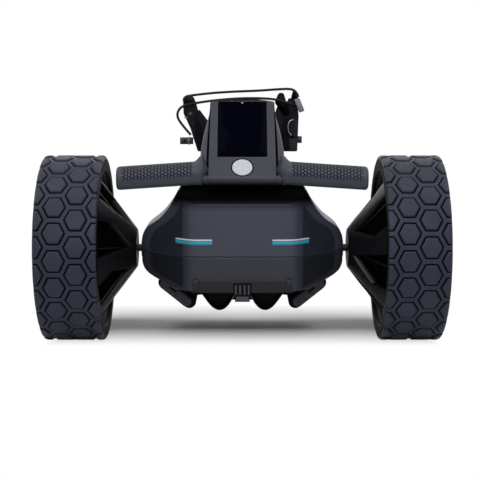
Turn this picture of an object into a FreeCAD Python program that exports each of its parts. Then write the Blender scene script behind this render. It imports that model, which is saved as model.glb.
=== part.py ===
import FreeCAD, Part
import math
import os
import re
import Sketcher
from FreeCAD import Placement, Rotation, Vector

# Electric golf trolley, folded. X is to the right seen from behind, Y is forward and Z is up.
# The origin is the middle of the bounding box on the ground. Lengths are in millimetres.

SIZES = {
    # drive wheels
    "wheel_radius": 145, "tyre_width": 94, "tyre_gap": 214, "tyre_bore": 121, "tyre_shoulder": 8,
    "barrel_wall": 4, "barrel_inset": 5, "spoke_wall": 5, "dish_inset": 22, "spoke_edge": 13,
    "hub_radius": 30, "hub_length": 66, "hub_gap": 8, "groove": 1, "shaft_radius": 6, "shaft_play": 0.05,
    "release_radius": 11, "release_length": 14, "release_travel": 4,
    # housing
    "body_width": 157, "body_rise": 99, "body_drop": 53, "body_rear": 100,
    "body_front": 75, "panel_half": 76, "shell_wall": 3, "seat_radius": 14, "brow_rise": 79,
    "brow_depth": 28, "flank_rear": 25, "flank_front": 40,
    # drive and electrics
    "motor_radius": 24, "gearbox_gap": 19, "motor_length": 66, "gearbox_radius": 27,
    "gearbox_length": 42, "tray_wall": 3, "battery_width": 140, "battery_depth": 100,
    "battery_height": 48, "board_width": 120, "board_depth": 44, "board_wall": 1.6,
    # spine and front leg
    "spine_width": 40, "spine_height": 36, "spine_wall": 2.5, "spine_rise": 55, "spine_rear": 40,
    "spine_front": 480, "hinge_front": 515, "hinge_rise": 85, "hinge_radius": 16,
    "pin_radius": 5, "pin_play": 0.05, "ear_wall": 6, "ear_play": 0.3, "leg_width": 34,
    "leg_height": 28, "leg_fold": 108, "stem_reach": 210, "stem_drop": 10, "head_radius": 20,
    "head_length": 34, "stem_radius": 10, "trail": 25, "front_radius": 95.58, "front_width": 60,
    "front_bore": 68, "fork_wall": 8, "fork_play": 6, "front_axle_radius": 6,
    # mast
    "mast_width": 36, "mast_height": 32, "mast_wall": 2.5, "base_rear": 95, "base_gap": 4,
    "knee_front": 470, "fold_gap": 4, "knee_setback": 30, "knee_half": 12, "mast_rear": 20,
    "lever_length": 46, "lever_wall": 7,
    # console
    "face_rear": 105, "face_drop": 26, "face_tilt": 46.85, "face_length": 153.5,
    "face_half": 50, "face_flare": 55.5,
    "flare_start": 14, "flare_end": 46, "console_wall": 3, "console_depth": 12, "tray_depth": 26,
    "tray_start": 62, "tray_half": 40, "glass_half": 37, "glass_start": 39, "glass_length": 109,
    "glass_wall": 2, "button_radius": 15, "button_gap": 0.5, "button_along": 18,
    "button_wall": 3, "button_travel": 1.5, "tilt_along": 20, "tilt_depth": 24, "tilt_ear": 9,
    "bar_radius": 6, "bar_along": 7, "bar_depth": 12.5, "bar_low": 3,
    "bar_straight": 22, "bar_bend": 16, "bar_short": 8,
    # grips
    "grip_start": 57, "grip_end": 186.5, "grip_high": 35, "grip_thick": 32, "grip_rear": 90,
    "grip_rise": 5, "grip_sweep": 8, "grip_fall": 8,
    # lower bag rest
    "saddle_rear": 30, "saddle_front": 118, "saddle_drop": 59, "lobe_half": 36, "arm_x": 84.5,
    "arm_drop": 35, "arm_span": 49, "arm_angle": 39, "arm_radius": 11, "arm_rear": 4,
    "arm_front": 110, "arm_pin": 4, "lip_depth": 6, "lip_height": 14, "latch_half": 13.5,
    "latch_wall": 4.4,
    # upper bag rest
    "cradle_rear": 96, "cradle_front": 124, "cradle_half": 66,
    "cradle_high": 12, "cord_radius": 2,
}

# Heights and places that follow other sizes: everything stands on the axle, the mast on the spine,
# and the motors and gearboxes sit just inside the flanks.
FOLLOWS = {
    "seam_height": "wheel_radius", "body_top": "wheel_radius + body_rise",
    "body_floor": "wheel_radius - body_drop", "brow_height": "wheel_radius + brow_rise",
    "motor_inner": "body_width - gearbox_gap - gearbox_length - motor_length",
    "spine_base": "wheel_radius + spine_rise", "hinge_height": "wheel_radius + hinge_rise",
    "base_height": "spine_base + spine_height + base_gap + mast_height / 2",
    "knee_height": "base_height + mast_height / 2 + fold_gap / 2",
    "cradle_base": "knee_height * 2 - base_height + mast_height / 2",
    "face_height": "knee_height * 2 - base_height - face_drop",
    "grip_height": "face_height + grip_rise", "saddle_low": "body_floor - saddle_drop",
    "arm_z": "body_floor - arm_drop",
}

AXLE_Y = "((wheel_radius - hinge_front - hinge_radius) / 2)"
AXLE_Z = "wheel_radius"
HUB_X = "(body_width + hub_gap)"
MAST_TOP = "(base_height + mast_height / 2)"

doc = FreeCAD.newDocument("golf_trolley")
sheet = doc.addObject("Spreadsheet::Sheet", "Sizes")
for row, (alias, value) in enumerate({**SIZES, **FOLLOWS}.items(), 1):
    sheet.set(f"A{row}", alias)
    sheet.set(f"B{row}", f"={value}")
    sheet.setAlias(f"B{row}", alias)
doc.recompute()

nodes = []


def bound(text):
    """The expression with each size read from the sheet."""
    known = {**SIZES, **FOLLOWS}
    return re.sub(r"[a-z_]+", lambda m: "Sizes." + m[0] if m[0] in known else m[0], str(text))


def val(text):
    """The number that an expression of sizes stands for now."""
    return float(sheet.evalExpression(bound(text)))


def bind(thing, **sizes):
    """Ties each property of a piece to an expression of sizes."""
    for name, text in sizes.items():
        thing.setExpression(name.replace("__", "."), bound(text))
    return thing


def place(thing, x="0", y="0", z="0", axis=None, angle="0"):
    """Turns a piece about an axis through its own origin, then puts that origin at x, y, z."""
    if axis:
        thing.Placement = Placement(Vector(), Rotation(axis, val(angle)))
    return bind(thing, Placement__Base__x=x, Placement__Base__y=y, Placement__Base__z=z)


def node(thing, label):
    """Names a finished piece and keeps it for the export."""
    thing.Label = label
    nodes.append(thing)
    return thing


def box(x, y, z, length, width, height):
    """A block whose lowest corner is at x, y, z."""
    made = bind(doc.addObject("Part::Box", "Block"), Length=length, Width=width, Height=height)
    return place(made, x, y, z)


def carried(thing):
    """Holds a block or bar, so that the frame it is drawn in can be turned as a whole."""
    if thing.TypeId not in ("Part::Box", "Part::Cylinder"):
        return thing
    held = doc.addObject("Part::Compound", "Held")
    held.Links = [thing]
    return held


AXES = {"x": (Vector(0, 1, 0), 90), "y": (Vector(1, 0, 0), -90), "z": (Vector(0, 0, 1), 0)}


def rod(axis, x, y, z, radius, length):
    """A round bar that starts at x, y, z and runs along the positive axis."""
    made = bind(doc.addObject("Part::Cylinder", "Bar"), Radius=radius, Height=length)
    return place(made, x, y, z, *AXES[axis])


def fuse(*shapes):
    """Shapes joined into one piece."""
    made = doc.addObject("Part::MultiFuse", "Joined")
    made.Shapes = list(shapes)
    return made


def cut(base, *tools):
    """A piece less the tools."""
    made = doc.addObject("Part::Cut", "Cut")
    made.Base = base
    made.Tool = tools[0] if len(tools) == 1 else fuse(*tools)
    return made


def origin_part(body, role):
    """One of a body's own planes or axes."""
    return next(o for o in body.Origin.OriginFeatures if o.Role == role)


def outline(body, plane, loops, offset="0"):
    """A sketch on one of the body's planes, of closed loops whose corners are expressions."""
    drawn = body.newObject("Sketcher::SketchObject", "Outline")
    drawn.AttachmentSupport = [(origin_part(body, plane), "")]
    drawn.MapMode = "FlatFace"
    bind(drawn, AttachmentOffset__Base__z=offset)
    first = 0
    for loop in loops:
        corners = [Vector(val(a), val(b), 0) for a, b in loop]
        count = len(corners)
        for i in range(count):
            drawn.addGeometry(Part.LineSegment(corners[i], corners[(i + 1) % count]), False)
        for i in range(count):
            following = first + (i + 1) % count
            drawn.addConstraint(Sketcher.Constraint("Coincident", first + i, 2, following, 1))
        for i, (a, b) in enumerate(loop):
            for kind, text, now in (("DistanceX", a, corners[i].x), ("DistanceY", b, corners[i].y)):
                made = drawn.addConstraint(Sketcher.Constraint(kind, first + i, 1, now))
                drawn.setExpression(f"Constraints[{made}]", bound(text))
        first += count
    return drawn


def new_body():
    """An empty body for sketches and features."""
    return doc.addObject("PartDesign::Body", "Body")


def pad(body, drawn, length, backwards=False):
    """Raises an outline into a solid."""
    made = body.newObject("PartDesign::Pad", "Pad")
    made.Profile = drawn
    made.Reversed = backwards
    bind(made, Length=length)
    doc.recompute()
    return made


def pocket(body, drawn):
    """Cuts the drawn outline through the whole body, both ways."""
    made = body.newObject("PartDesign::Pocket", "Pocket")
    made.Profile = drawn
    made.Type = "ThroughAll"
    made.SideType = "Symmetric"
    doc.recompute()
    return made


def slab(points, start, length):
    """A body drawn in X and Z, from Y = start forward."""
    body = new_body()
    pad(body, outline(body, "XZ_Plane", [points], f"-({start})"), length, backwards=True)
    return body


def turned(points):
    """A body of revolution about the X axis, from an outline of X and radius."""
    body = new_body()
    made = body.newObject("PartDesign::Revolution", "Turned")
    made.Profile = outline(body, "XY_Plane", [points])
    made.ReferenceAxis = (made.Profile[0], ["H_Axis"])
    made.Angle = 360
    doc.recompute()
    return body


def mirror_x(points):
    """The same outline on the other side of the middle."""
    return [(f"-({a})", b) for a, b in reversed(points)]


def fillet(body, radius, chosen):
    """Rounds the edges that the test picks."""
    base = body.Tip
    edges = [f"Edge{i}" for i, e in enumerate(base.Shape.Edges, 1) if chosen(e)]
    made = body.newObject("PartDesign::Fillet", "Round")
    made.Base = (base, edges)
    bind(made, Radius=radius)
    doc.recompute()
    return made


# Drive wheels: a rubber tyre on a moulded centre whose blade spokes slope in to a hub near the body.

def drive_wheel(side, name):
    """One tyre, its dished centre, the shaft it slides on, and the button that lets it off the shaft."""
    spin = Rotation(Vector(0, 0, 1), 0 if side > 0 else 180)

    def on_axle(body, label):
        """Drawn about the origin as a right wheel, then turned to its side and put on the axle."""
        body.Placement = Placement(Vector(), spin)
        place(body, "0", AXLE_Y, AXLE_Z)
        return node(body, label)

    tyre = turned([("tyre_gap", "tyre_bore"), ("tyre_gap + tyre_width", "tyre_bore"),
                   ("tyre_gap + tyre_width", "wheel_radius"), ("tyre_gap", "wheel_radius")])
    fillet(tyre, "tyre_shoulder", lambda e: e.BoundBox.YLength > 2 * val("wheel_radius") - 1)
    on_axle(tyre, f"tyre_{name}")

    inner = "tyre_gap + barrel_inset"
    outer = "tyre_gap + tyre_width - barrel_inset"
    rim = "tyre_gap + dish_inset"
    hub_end = f"({HUB_X} + hub_length)"
    well = f"({hub_end} - release_travel - 2)"
    centre = turned([
        (HUB_X, "shaft_radius"), (well, "shaft_radius"), (well, "release_radius + ear_play"),
        (hub_end, "release_radius + ear_play"), (hub_end, "hub_radius - 6"),
        (f"{HUB_X} + spoke_wall * 2", "hub_radius"),
        (f"{rim} + spoke_wall", "tyre_bore - barrel_wall"),
        (outer, "tyre_bore - barrel_wall"), (outer, "tyre_bore"), (inner, "tyre_bore"),
        (inner, "tyre_bore - barrel_wall"), (f"{rim} - spoke_wall", "tyre_bore - barrel_wall"),
        (HUB_X, "hub_radius")])
    window = outline(centre, "YZ_Plane", [[
        ("spoke_edge", "hub_radius + 6"), ("tyre_bore * 0.44", "tyre_bore * 0.7"),
        ("0", "tyre_bore - barrel_wall - 5"), ("-tyre_bore * 0.1", "tyre_bore * 0.6")]])
    opening = pocket(centre, window)
    windows = centre.newObject("PartDesign::PolarPattern", "Windows")
    windows.Originals = [opening]
    windows.Axis = (origin_part(centre, "X_Axis"), [""])
    windows.Angle = 360
    windows.Occurrences = 6
    centre.Tip = windows
    doc.recompute()
    on_axle(centre, f"wheel_centre_{name}")

    stub = "motor_inner + motor_length + gearbox_length / 2"
    grooves = []
    for start in (1.6, 4, 6.4):
        x = f"body_width + {start}"
        grooves += [(x, "shaft_radius"), (x, "shaft_radius - groove"),
                    (f"{x} + groove", "shaft_radius - groove"), (f"{x} + groove", "shaft_radius")]
    shaft = turned([(stub, "0"), (stub, "shaft_radius")] + grooves + [
        (well, "shaft_radius"), (well, "0")])
    on_axle(shaft, f"drive_shaft_{name}")

    start = f"{hub_end} - 1"
    button = turned([(start, "0"), (start, "release_radius"),
                     (f"{start} + release_length - 3", "release_radius"),
                     (f"{start} + release_length", "release_radius - 3"),
                     (f"{start} + release_length", "0")])
    on_axle(button, f"wheel_release_{name}")


# Housing: two moulded half shells that meet in a flat seam at axle height, hollow inside.

def plan(inset):
    """The housing seen from above: a flat rear panel, flanks angled back to it and a square front."""
    wide = f"(body_width - {inset})"
    rear = f"-(body_rear - {inset})"
    panel = f"(panel_half - {inset} / 2)"
    return [(wide, "flank_front"), (f"{wide} - 40", f"body_front - {inset}"),
            (f"-({wide} - 40)", f"body_front - {inset}"), (f"-{wide}", "flank_front"),
            (f"-{wide}", "-flank_rear"), (f"-{panel}", rear), (panel, rear), (wide, "-flank_rear")]


def corner(points, inset, sign):
    """The waste outside one flank, seen from behind, moved in by the wall."""
    return [(f"body_width - {drop} - {inset}", f"seam_height + {sign} * ({rise} - {inset} * 0.4)")
            for drop, rise in points]


def half_shell(points, sign, end, inset, brow):
    """Half of the housing from the seam up (sign 1) or down (-1) to end, or the room inside it, which is the
    same shape drawn smaller by inset. The upper half slopes back at the top of its rear panel, the brow."""
    body = new_body()
    base, height = ("seam_height", f"{end} - seam_height - {inset}")
    if sign < 0:
        base, height = (f"{end} + {inset}", f"seam_height - {end} - {inset}")
    pad(body, outline(body, "XY_Plane", [plan(inset)], base), height)
    side = corner(points, inset, sign)
    pocket(body, outline(body, "XZ_Plane", [side, mirror_x(side)]))
    if brow:
        past = "8 * (body_top - brow_height) / brow_depth"
        pocket(body, outline(body, "YZ_Plane", [[
            ("-body_rear - 8", f"brow_height - {inset} - {past}"),
            ("-body_rear + brow_depth + 8", f"body_top - {inset} + {past}"),
            ("-body_rear - 8", "body_top + 20")]]))
    seam = val("seam_height")
    shortest = 24 if sign > 0 else 60
    if inset == "0":
        fillet(body, "shell_wall - 1", lambda e: e.Length > shortest
               and not all(abs(v.Z - seam) < 0.01 for v in e.Vertexes))
    return place(body, "0", AXLE_Y, "0")


# What is cut off each flank, as its drop from the full width and its rise from the seam.
UPPER_FLANK = [("-20", "20"), ("0", "20"), ("8", "37"), ("30", "52"), ("44", "69"), ("64", "104"),
               ("64", "120"), ("-20", "120")]
LOWER_FLANK = [("-20", "21"), ("0", "21"), ("6", "33"), ("20", "40"), ("49", "50"), ("65", "56"),
               ("65", "80"), ("-20", "80")]


def bearing_seats():
    """The bore for both axle bearings, right through the housing."""
    return rod("x", "-body_width - 10", AXLE_Y, AXLE_Z, "seat_radius", "body_width * 2 + 20")


def shells():
    """The two halves, the doorway for the spine, and the posts and ribs that hold the board and gearboxes."""
    upper = half_shell(UPPER_FLANK, 1, "body_top", "0", True)
    cavity = half_shell(UPPER_FLANK, 1, "body_top", "shell_wall", True)
    door = box("-spine_width / 2 - ear_play", f"{AXLE_Y} + body_front - 20",
               "spine_base - ear_play", "spine_width + ear_play * 2", "40",
               "spine_height + ear_play * 2")
    node(cut(upper, cavity, bearing_seats(), door), "upper_shell")

    lower = half_shell(LOWER_FLANK, -1, "body_floor", "0", False)
    cavity = half_shell(LOWER_FLANK, -1, "body_floor", "shell_wall", False)
    shell = cut(lower, cavity, bearing_seats())
    posts = []
    for side in (-1, 1):
        for y in ("-board_depth / 2 + 4", "board_depth / 2 - 4"):
            posts.append(rod("z", f"{side} * (board_width / 2 - 5)", f"{AXLE_Y} - body_rear / 2 - 8 + {y}",
                             "body_floor + shell_wall", "3", "3"))
    for side in (-1, 1):
        gearbox_mid = f"{side} * (motor_inner + motor_length + gearbox_length / 2) - 3"
        posts.append(box(gearbox_mid, f"{AXLE_Y} - 14", "body_floor + 8.5",
                         "6", "28", f"{AXLE_Z} - gearbox_radius - body_floor - 5.5"))
    ribs = cut(fuse(*posts), rod("x", "-body_width", AXLE_Y, AXLE_Z, "gearbox_radius", "body_width * 2"))
    node(fuse(shell, ribs), "lower_shell")


def drive():
    """Motor, gearbox and bearing of each wheel, in line along the axle inside the housing."""
    face = "(motor_inner + motor_length)"
    gearbox_end = f"({face} + gearbox_length)"
    motors, gearboxes, bearings = [], [], []
    for side in (1, -1):
        def along(start, length, radius):
            """A bar on the axle line, so far out from the middle on this side."""
            x = start if side > 0 else f"-({start}) - ({length})"
            return rod("x", x, AXLE_Y, AXLE_Z, radius, length)

        motors.append(along("motor_inner", "motor_length", "motor_radius"))
        case = along(face, "gearbox_length", "gearbox_radius")
        nose = along(gearbox_end, f"body_width - 11 - {gearbox_end}", "seat_radius - 1")
        bore = along(f"{face} + gearbox_length / 2 - 1", "body_width", "shaft_radius + shaft_play")
        gearboxes.append(cut(fuse(case, nose), bore))
        ring = along("body_width - 11", "12", "seat_radius")
        bearings.append(cut(ring, along("body_width - 12", "14", "shaft_radius + shaft_play")))
    node(fuse(*motors), "motors")
    node(fuse(*gearboxes), "gearboxes")
    node(fuse(*bearings), "axle_bearings")


def electrics():
    """The battery on its tray across the gearboxes, and the control board on posts behind them."""
    tray_z = f"({AXLE_Z} + gearbox_radius)"
    rear = f"({AXLE_Y} - body_rear + brow_depth + 2)"
    node(box("-battery_width / 2 - 30", rear, tray_z, "battery_width + 60", "battery_depth + 4",
             "tray_wall"), "battery_tray")
    pack = box("-battery_width / 2", f"{rear} + 2", f"{tray_z} + tray_wall", "battery_width",
               "battery_depth", "battery_height")
    node(pack, "battery_pack")
    node(box("-board_width / 2", f"{AXLE_Y} - body_rear / 2 - 8 - board_depth / 2",
             "body_floor + shell_wall + 3", "board_width", "board_depth", "board_wall"), "control_board")


def screws():
    """Four cross-head screws that close the housing from below."""
    heads = []
    for x in ("-70", "70"):
        for y in ("-body_rear + 25", "saddle_rear - 12"):
            heads.append(rod("z", x, f"{AXLE_Y} + {y}", "body_floor - 2", "4", "2"))
    node(fuse(*heads), "shell_screws")


# Spine: a box tube from the housing forward to the hinge of the front leg.

def spine():
    """The tube, and the stand inside the housing that it sits on."""
    y = f"({AXLE_Y} + spine_rear)"
    outer = box("-spine_width / 2", y, "spine_base", "spine_width", "spine_front - spine_rear",
                "spine_height")
    inner = box("-spine_width / 2 + spine_wall", f"{y} - 1", "spine_base + spine_wall",
                "spine_width - spine_wall * 2", "spine_front - spine_rear + 2",
                "spine_height - spine_wall * 2")
    node(cut(outer, inner), "spine_tube")
    stand = box("-28", y, "body_floor + shell_wall", "56", "30", "spine_base - body_floor - shell_wall")
    hollow = box("-22", f"{y} - 1", "body_floor + shell_wall + 6", "44", "32",
                 "spine_base - body_floor - shell_wall - 12")
    node(cut(stand, hollow), "spine_bracket")


def clevis(y, z, half, radius, foot_y, foot_length, foot_z, foot_height):
    """Two ears either side of a gap of the half-width given, each a round end on a block."""
    ears = []
    for side in (-1, 1):
        x = half if side > 0 else f"-({half}) - ear_wall"
        ears.append(rod("x", x, y, z, radius, "ear_wall"))
        ears.append(box(x, foot_y, foot_z, "ear_wall", foot_length, foot_height))
    return ears


def front_hinge():
    """The clevis on the end of the spine. Its pin is returned, to be kept with the mast's."""
    y = f"({AXLE_Y} + hinge_front)"
    half = "leg_width / 2 + ear_play"
    ears = clevis(y, "hinge_height", half, "hinge_radius",
                  f"{AXLE_Y} + spine_front", "hinge_front - spine_front", "hinge_height - hinge_radius",
                  "hinge_radius * 2")
    block = box(f"-({half}) - ear_wall", f"{AXLE_Y} + spine_front", "hinge_height - hinge_radius - 12",
                f"({half}) * 2 + ear_wall * 2", "8", "hinge_radius * 2 + 12")
    bore = rod("x", "-60", y, "hinge_height", "pin_radius", "120")
    node(cut(fuse(block, *ears), bore), "front_bracket")
    pin = f"({half} + ear_wall + 2)"
    return rod("x", f"-{pin}", y, "hinge_height", "pin_radius", f"{pin} * 2")


# Front leg: folded back under the spine. It carries a fork that swivels and one small wheel.
# Its pieces are drawn with the leg down, at the hinge, then turned back about the hinge pin.

def leg_frame(thing):
    """Turns a piece drawn with the leg down to where it lies folded."""
    thing = carried(thing)
    thing.Placement = Placement(Vector(), Rotation(Vector(1, 0, 0), -val("leg_fold")))
    return place(thing, "0", f"{AXLE_Y} + hinge_front", "hinge_height")


def front_leg():
    """The leg with its steering head, the fork with its stem, the cap on the stem and the axle."""
    lug = rod("x", "-leg_width / 2", "0", "0", "leg_height / 2", "leg_width")
    beam = box("-leg_width / 2", "0", "-leg_height / 2", "leg_width",
               "stem_reach - head_radius + 6", "leg_height")
    head = rod("z", "0", "stem_reach", "-stem_drop - head_length / 2", "head_radius", "head_length")
    bore = rod("x", "-60", "0", "0", "pin_radius + pin_play", "120")
    stem = rod("z", "0", "stem_reach", "-stem_drop - head_length / 2 - 1",
               "stem_radius + pin_play", "head_length + 2")
    node(leg_frame(cut(fuse(lug, beam, head), bore, stem)), "front_leg_tube")

    under = "(stem_drop + head_length / 2 + 1)"
    wheel_y = "(stem_reach - trail)"
    wheel_z = "(hinge_height - front_radius)"
    half = "(front_width / 2 + fork_play)"
    post = rod("z", "0", "stem_reach", f"-{under}", "stem_radius", "head_length + 6")
    bridge = box(f"-{half} - fork_wall", "stem_reach - 22", f"-{under} - fork_wall",
                 f"({half} + fork_wall) * 2", "44", "fork_wall")
    blades = []
    for side in (-1, 1):
        x = half if side > 0 else f"-{half} - fork_wall"
        blades.append(box(x, "stem_reach - 22 - trail / 2", f"-{wheel_z}", "fork_wall", "32",
                          f"{wheel_z} - {under}"))
        blades.append(rod("x", x, wheel_y, f"-{wheel_z}", "16", "fork_wall"))
    axle_bore = rod("x", "-60", wheel_y, f"-{wheel_z}", "front_axle_radius", "120")
    node(leg_frame(cut(fuse(post, bridge, *blades), axle_bore)), "front_fork")
    cap = rod("z", "0", "stem_reach", f"-{under} + head_length + 6", "stem_radius + 4", "5")
    node(leg_frame(cap), "stem_cap")
    reach = f"({half} + fork_wall + 3)"
    node(leg_frame(rod("x", f"-{reach}", wheel_y, f"-{wheel_z}", "front_axle_radius",
                       f"{reach} * 2")), "front_axle")


def front_wheel():
    """A rubber tyre on a dished disc with a hub, on the axle of the fork."""
    y = "(stem_reach - trail)"
    z = "-(hinge_height - front_radius)"
    tread = rod("x", "-front_width / 2", y, z, "front_radius", "front_width")
    tyre = cut(tread, rod("x", "-front_width", y, z, "front_bore", "front_width * 2"))
    node(leg_frame(tyre), "front_tyre")
    disc = rod("x", "-front_width / 2 + 4", y, z, "front_bore", "front_width - 8")
    bore = rod("x", "-front_width", y, z, "front_axle_radius + pin_play", "front_width * 2")
    dish = [rod("x", x, y, z, "front_bore - 6", "19")
            for x in ("-front_width / 2 + 4", "front_width / 2 - 23")]
    hub = rod("x", "-front_width / 2 + 1", y, z, "15", "front_width - 2")
    node(leg_frame(cut(fuse(cut(disc, *dish), hub), bore)), "front_wheel_centre")


# Mast: two box tubes that lie one over the other when the trolley is folded.

def mast(front_pin):
    """Both tubes, the bracket and knuckle at the foot, and the knee between the tubes with its lever."""
    base_y = f"({AXLE_Y} + base_rear)"
    knee_y = f"({AXLE_Y} + knee_front)"
    half = "(mast_width / 2 + ear_play)"
    foot_z = "(spine_base + spine_height)"
    ears = clevis(base_y, "base_height", half, "mast_height / 2 - 2", f"{base_y} - 14", "28",
                  foot_z, f"base_height - {foot_z}")
    foot = box(f"-{half} - ear_wall", f"{base_y} - 14", foot_z, f"({half} + ear_wall) * 2", "28",
               "3")
    node(cut(fuse(foot, *ears), rod("x", "-60", base_y, "base_height", "pin_radius", "120")),
         "mast_bracket")
    pin = f"({half} + ear_wall + 2)"
    mast_pin = rod("x", f"-{pin}", base_y, "base_height", "pin_radius", f"{pin} * 2")
    node(fuse(front_pin, mast_pin), "hinge_pins")

    def tube(y, z, length, label):
        """A hollow box tube along Y."""
        outer = box("-mast_width / 2", y, f"{z} - mast_height / 2", "mast_width", length, "mast_height")
        inner = box("-mast_width / 2 + mast_wall", f"{y} - 1", f"{z} - mast_height / 2 + mast_wall",
                    "mast_width - mast_wall * 2", f"{length} + 2", "mast_height - mast_wall * 2")
        return node(cut(outer, inner), label)

    tube_start = f"({base_y} + 26)"
    tube_end = f"({knee_y} - knee_setback)"
    tube(tube_start, "base_height", f"{tube_end} - {tube_start}", "lower_mast_tube")
    lug = fuse(rod("x", "-mast_width / 2", base_y, "base_height", "mast_height / 2", "mast_width"),
               box("-mast_width / 2", base_y, "base_height - mast_height / 2", "mast_width", "26",
                   "mast_height"))
    node(cut(lug, rod("x", "-60", base_y, "base_height", "pin_radius + pin_play", "120")),
         "mast_knuckle")

    upper_z = "(knee_height * 2 - base_height)"
    tube_rear = f"({AXLE_Y} - mast_rear)"
    tube(tube_rear, upper_z, f"{tube_end} - {tube_rear}", "upper_mast_tube")
    inner_half = "knee_half"
    plug = box("-mast_width / 2", tube_end, "base_height - mast_height / 2", "mast_width", "8",
               "mast_height")
    ears = []
    for side in (-1, 1):
        x = f"{inner_half} + ear_play" if side > 0 else "-mast_width / 2"
        wide = f"mast_width / 2 - {inner_half} - ear_play"
        ears.append(rod("x", x, knee_y, "knee_height", "12", wide))
        ears.append(box(x, f"{tube_end}", "knee_height - 24", wide, "knee_setback", "24"))
    bore = rod("x", "-60", knee_y, "knee_height", "pin_radius", "120")
    node(cut(fuse(plug, *ears), bore), "knee_bracket")
    plug = box("-mast_width / 2", tube_end, f"{upper_z} - mast_height / 2", "mast_width", "8",
               "mast_height")
    tongue = fuse(rod("x", f"-{inner_half}", knee_y, "knee_height", "12", f"{inner_half} * 2"),
                  box(f"-{inner_half}", tube_end, "knee_height", f"{inner_half} * 2", "knee_setback",
                      "12"),
                  box(f"-{inner_half}", tube_end, "knee_height", f"{inner_half} * 2", "8", "20"))
    bore = rod("x", "-60", knee_y, "knee_height", "pin_radius + pin_play", "120")
    node(cut(fuse(plug, tongue), bore), "knee_tongue")
    pin = rod("x", "-mast_width / 2 - 3", knee_y, "knee_height", "pin_radius - pin_play",
              "mast_width + 6")
    lever_x = "(mast_width / 2 + 3)"
    hub = rod("x", lever_x, knee_y, "knee_height", "9", "lever_wall")
    arm = box(lever_x, f"{knee_y} - lever_length", "knee_height - 6", "lever_wall", "lever_length",
              "12")
    node(fuse(pin, hub, arm), "knee_lever")


# Console: a tilted housing on the rear end of the mast. Its pieces are drawn flat, with Y up
# the face and Z out of it, then turned to the tilt of the face.

def face_frame(thing):
    """Turns a piece drawn flat to the tilt of the face."""
    thing = carried(thing)
    thing.Placement = Placement(Vector(), Rotation(Vector(1, 0, 0), val("face_tilt")))
    return place(thing, "0", f"{AXLE_Y} - face_rear", "face_height")


def console_plan(inset):
    """The face seen square on: straight sides that flare out to the grips at the lower end."""
    top = f"(face_half - {inset})"
    low = f"(face_flare - {inset})"
    end = f"face_length - {inset}"
    lip = f"-9 + {inset}"
    return [(top, end), (f"-{top}", end), (f"-{top}", "flare_end"), (f"-{low}", "flare_start"),
            (f"-{low}", lip), (low, lip), (low, "flare_start"), (top, "flare_end")]


def console():
    """The shell with its glass and button, and the tray and board behind the glass."""
    body = new_body()
    side = [("face_length", "0"), ("0", "0"), ("-8.8", "-8.2"), ("10", "-26"), ("22", "-console_depth"),
            ("face_length", "-console_depth")]
    pad(body, outline(body, "YZ_Plane", [side], "-face_flare"), "face_flare * 2")
    beside = [("face_half", "face_length + 5"), ("face_half", "flare_end"), ("face_flare", "flare_start"),
              ("face_flare", "-20"), ("face_flare + 20", "-20"), ("face_flare + 20", "face_length + 5")]
    pocket(body, outline(body, "XY_Plane", [beside, mirror_x(beside)]))
    fillet(body, "2", lambda e: e.BoundBox.ZMin > -0.01 and e.Length > 20)
    hollow = new_body()
    pad(hollow, outline(hollow, "XY_Plane", [console_plan("console_wall")], "-60"),
        "60 - console_wall")
    recess = box("-glass_half", "glass_start", "-glass_wall", "glass_half * 2", "glass_length",
                 "glass_wall + 1")
    well = rod("z", "0", "button_along", "-console_wall - 1", "button_radius + button_gap",
               "console_wall + 2")
    shell = face_frame(cut(body, hollow, recess, well))
    node(cut(shell, bar_shape(val("bar_radius + ear_play"))), "console_shell")

    node(face_frame(box("-glass_half", "glass_start", "-glass_wall", "glass_half * 2",
                        "glass_length", "glass_wall")), "screen_glass")
    cap = rod("z", "0", "button_along", "-button_wall + 0.5", "button_radius", "button_wall")
    node(face_frame(cap), "power_button")

    tray = box("-tray_half", "tray_start", "-tray_depth", "tray_half * 2",
               "face_length - tray_start - console_wall - 0.3", "tray_depth - console_wall")
    hollow = box("-tray_half + console_wall", "tray_start + console_wall", "-tray_depth + console_wall",
                 "(tray_half - console_wall) * 2",
                 "face_length - tray_start - console_wall * 3 - 0.3", "tray_depth")
    node(face_frame(cut(tray, hollow)), "console_tray")
    board = box("-tray_half + console_wall", "tray_start + console_wall", "-tray_depth + console_wall",
                "(tray_half - console_wall) * 2", "face_length - tray_start - console_wall * 3 - 0.3",
                "board_wall")
    node(face_frame(board), "screen_board")


def face_point(along, depth):
    """A point behind the face: so far up it and so deep under it."""
    tilt = math.radians(val("face_tilt"))
    up = Vector(0, math.cos(tilt), math.sin(tilt))
    out = Vector(0, -math.sin(tilt), math.cos(tilt))
    corner = Vector(0, val(AXLE_Y) - val("face_rear"), val("face_height"))
    return corner + up * val(along) - out * val(depth)


def grip_line():
    """The right grip's axis, from its end at the console to its outer end."""
    start = Vector(val("grip_start"), val(AXLE_Y) - val("grip_rear"), val("grip_height"))
    end = start + Vector(val("grip_end") - val("grip_start"), -val("grip_sweep"), -val("grip_fall"))
    return start, end


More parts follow.
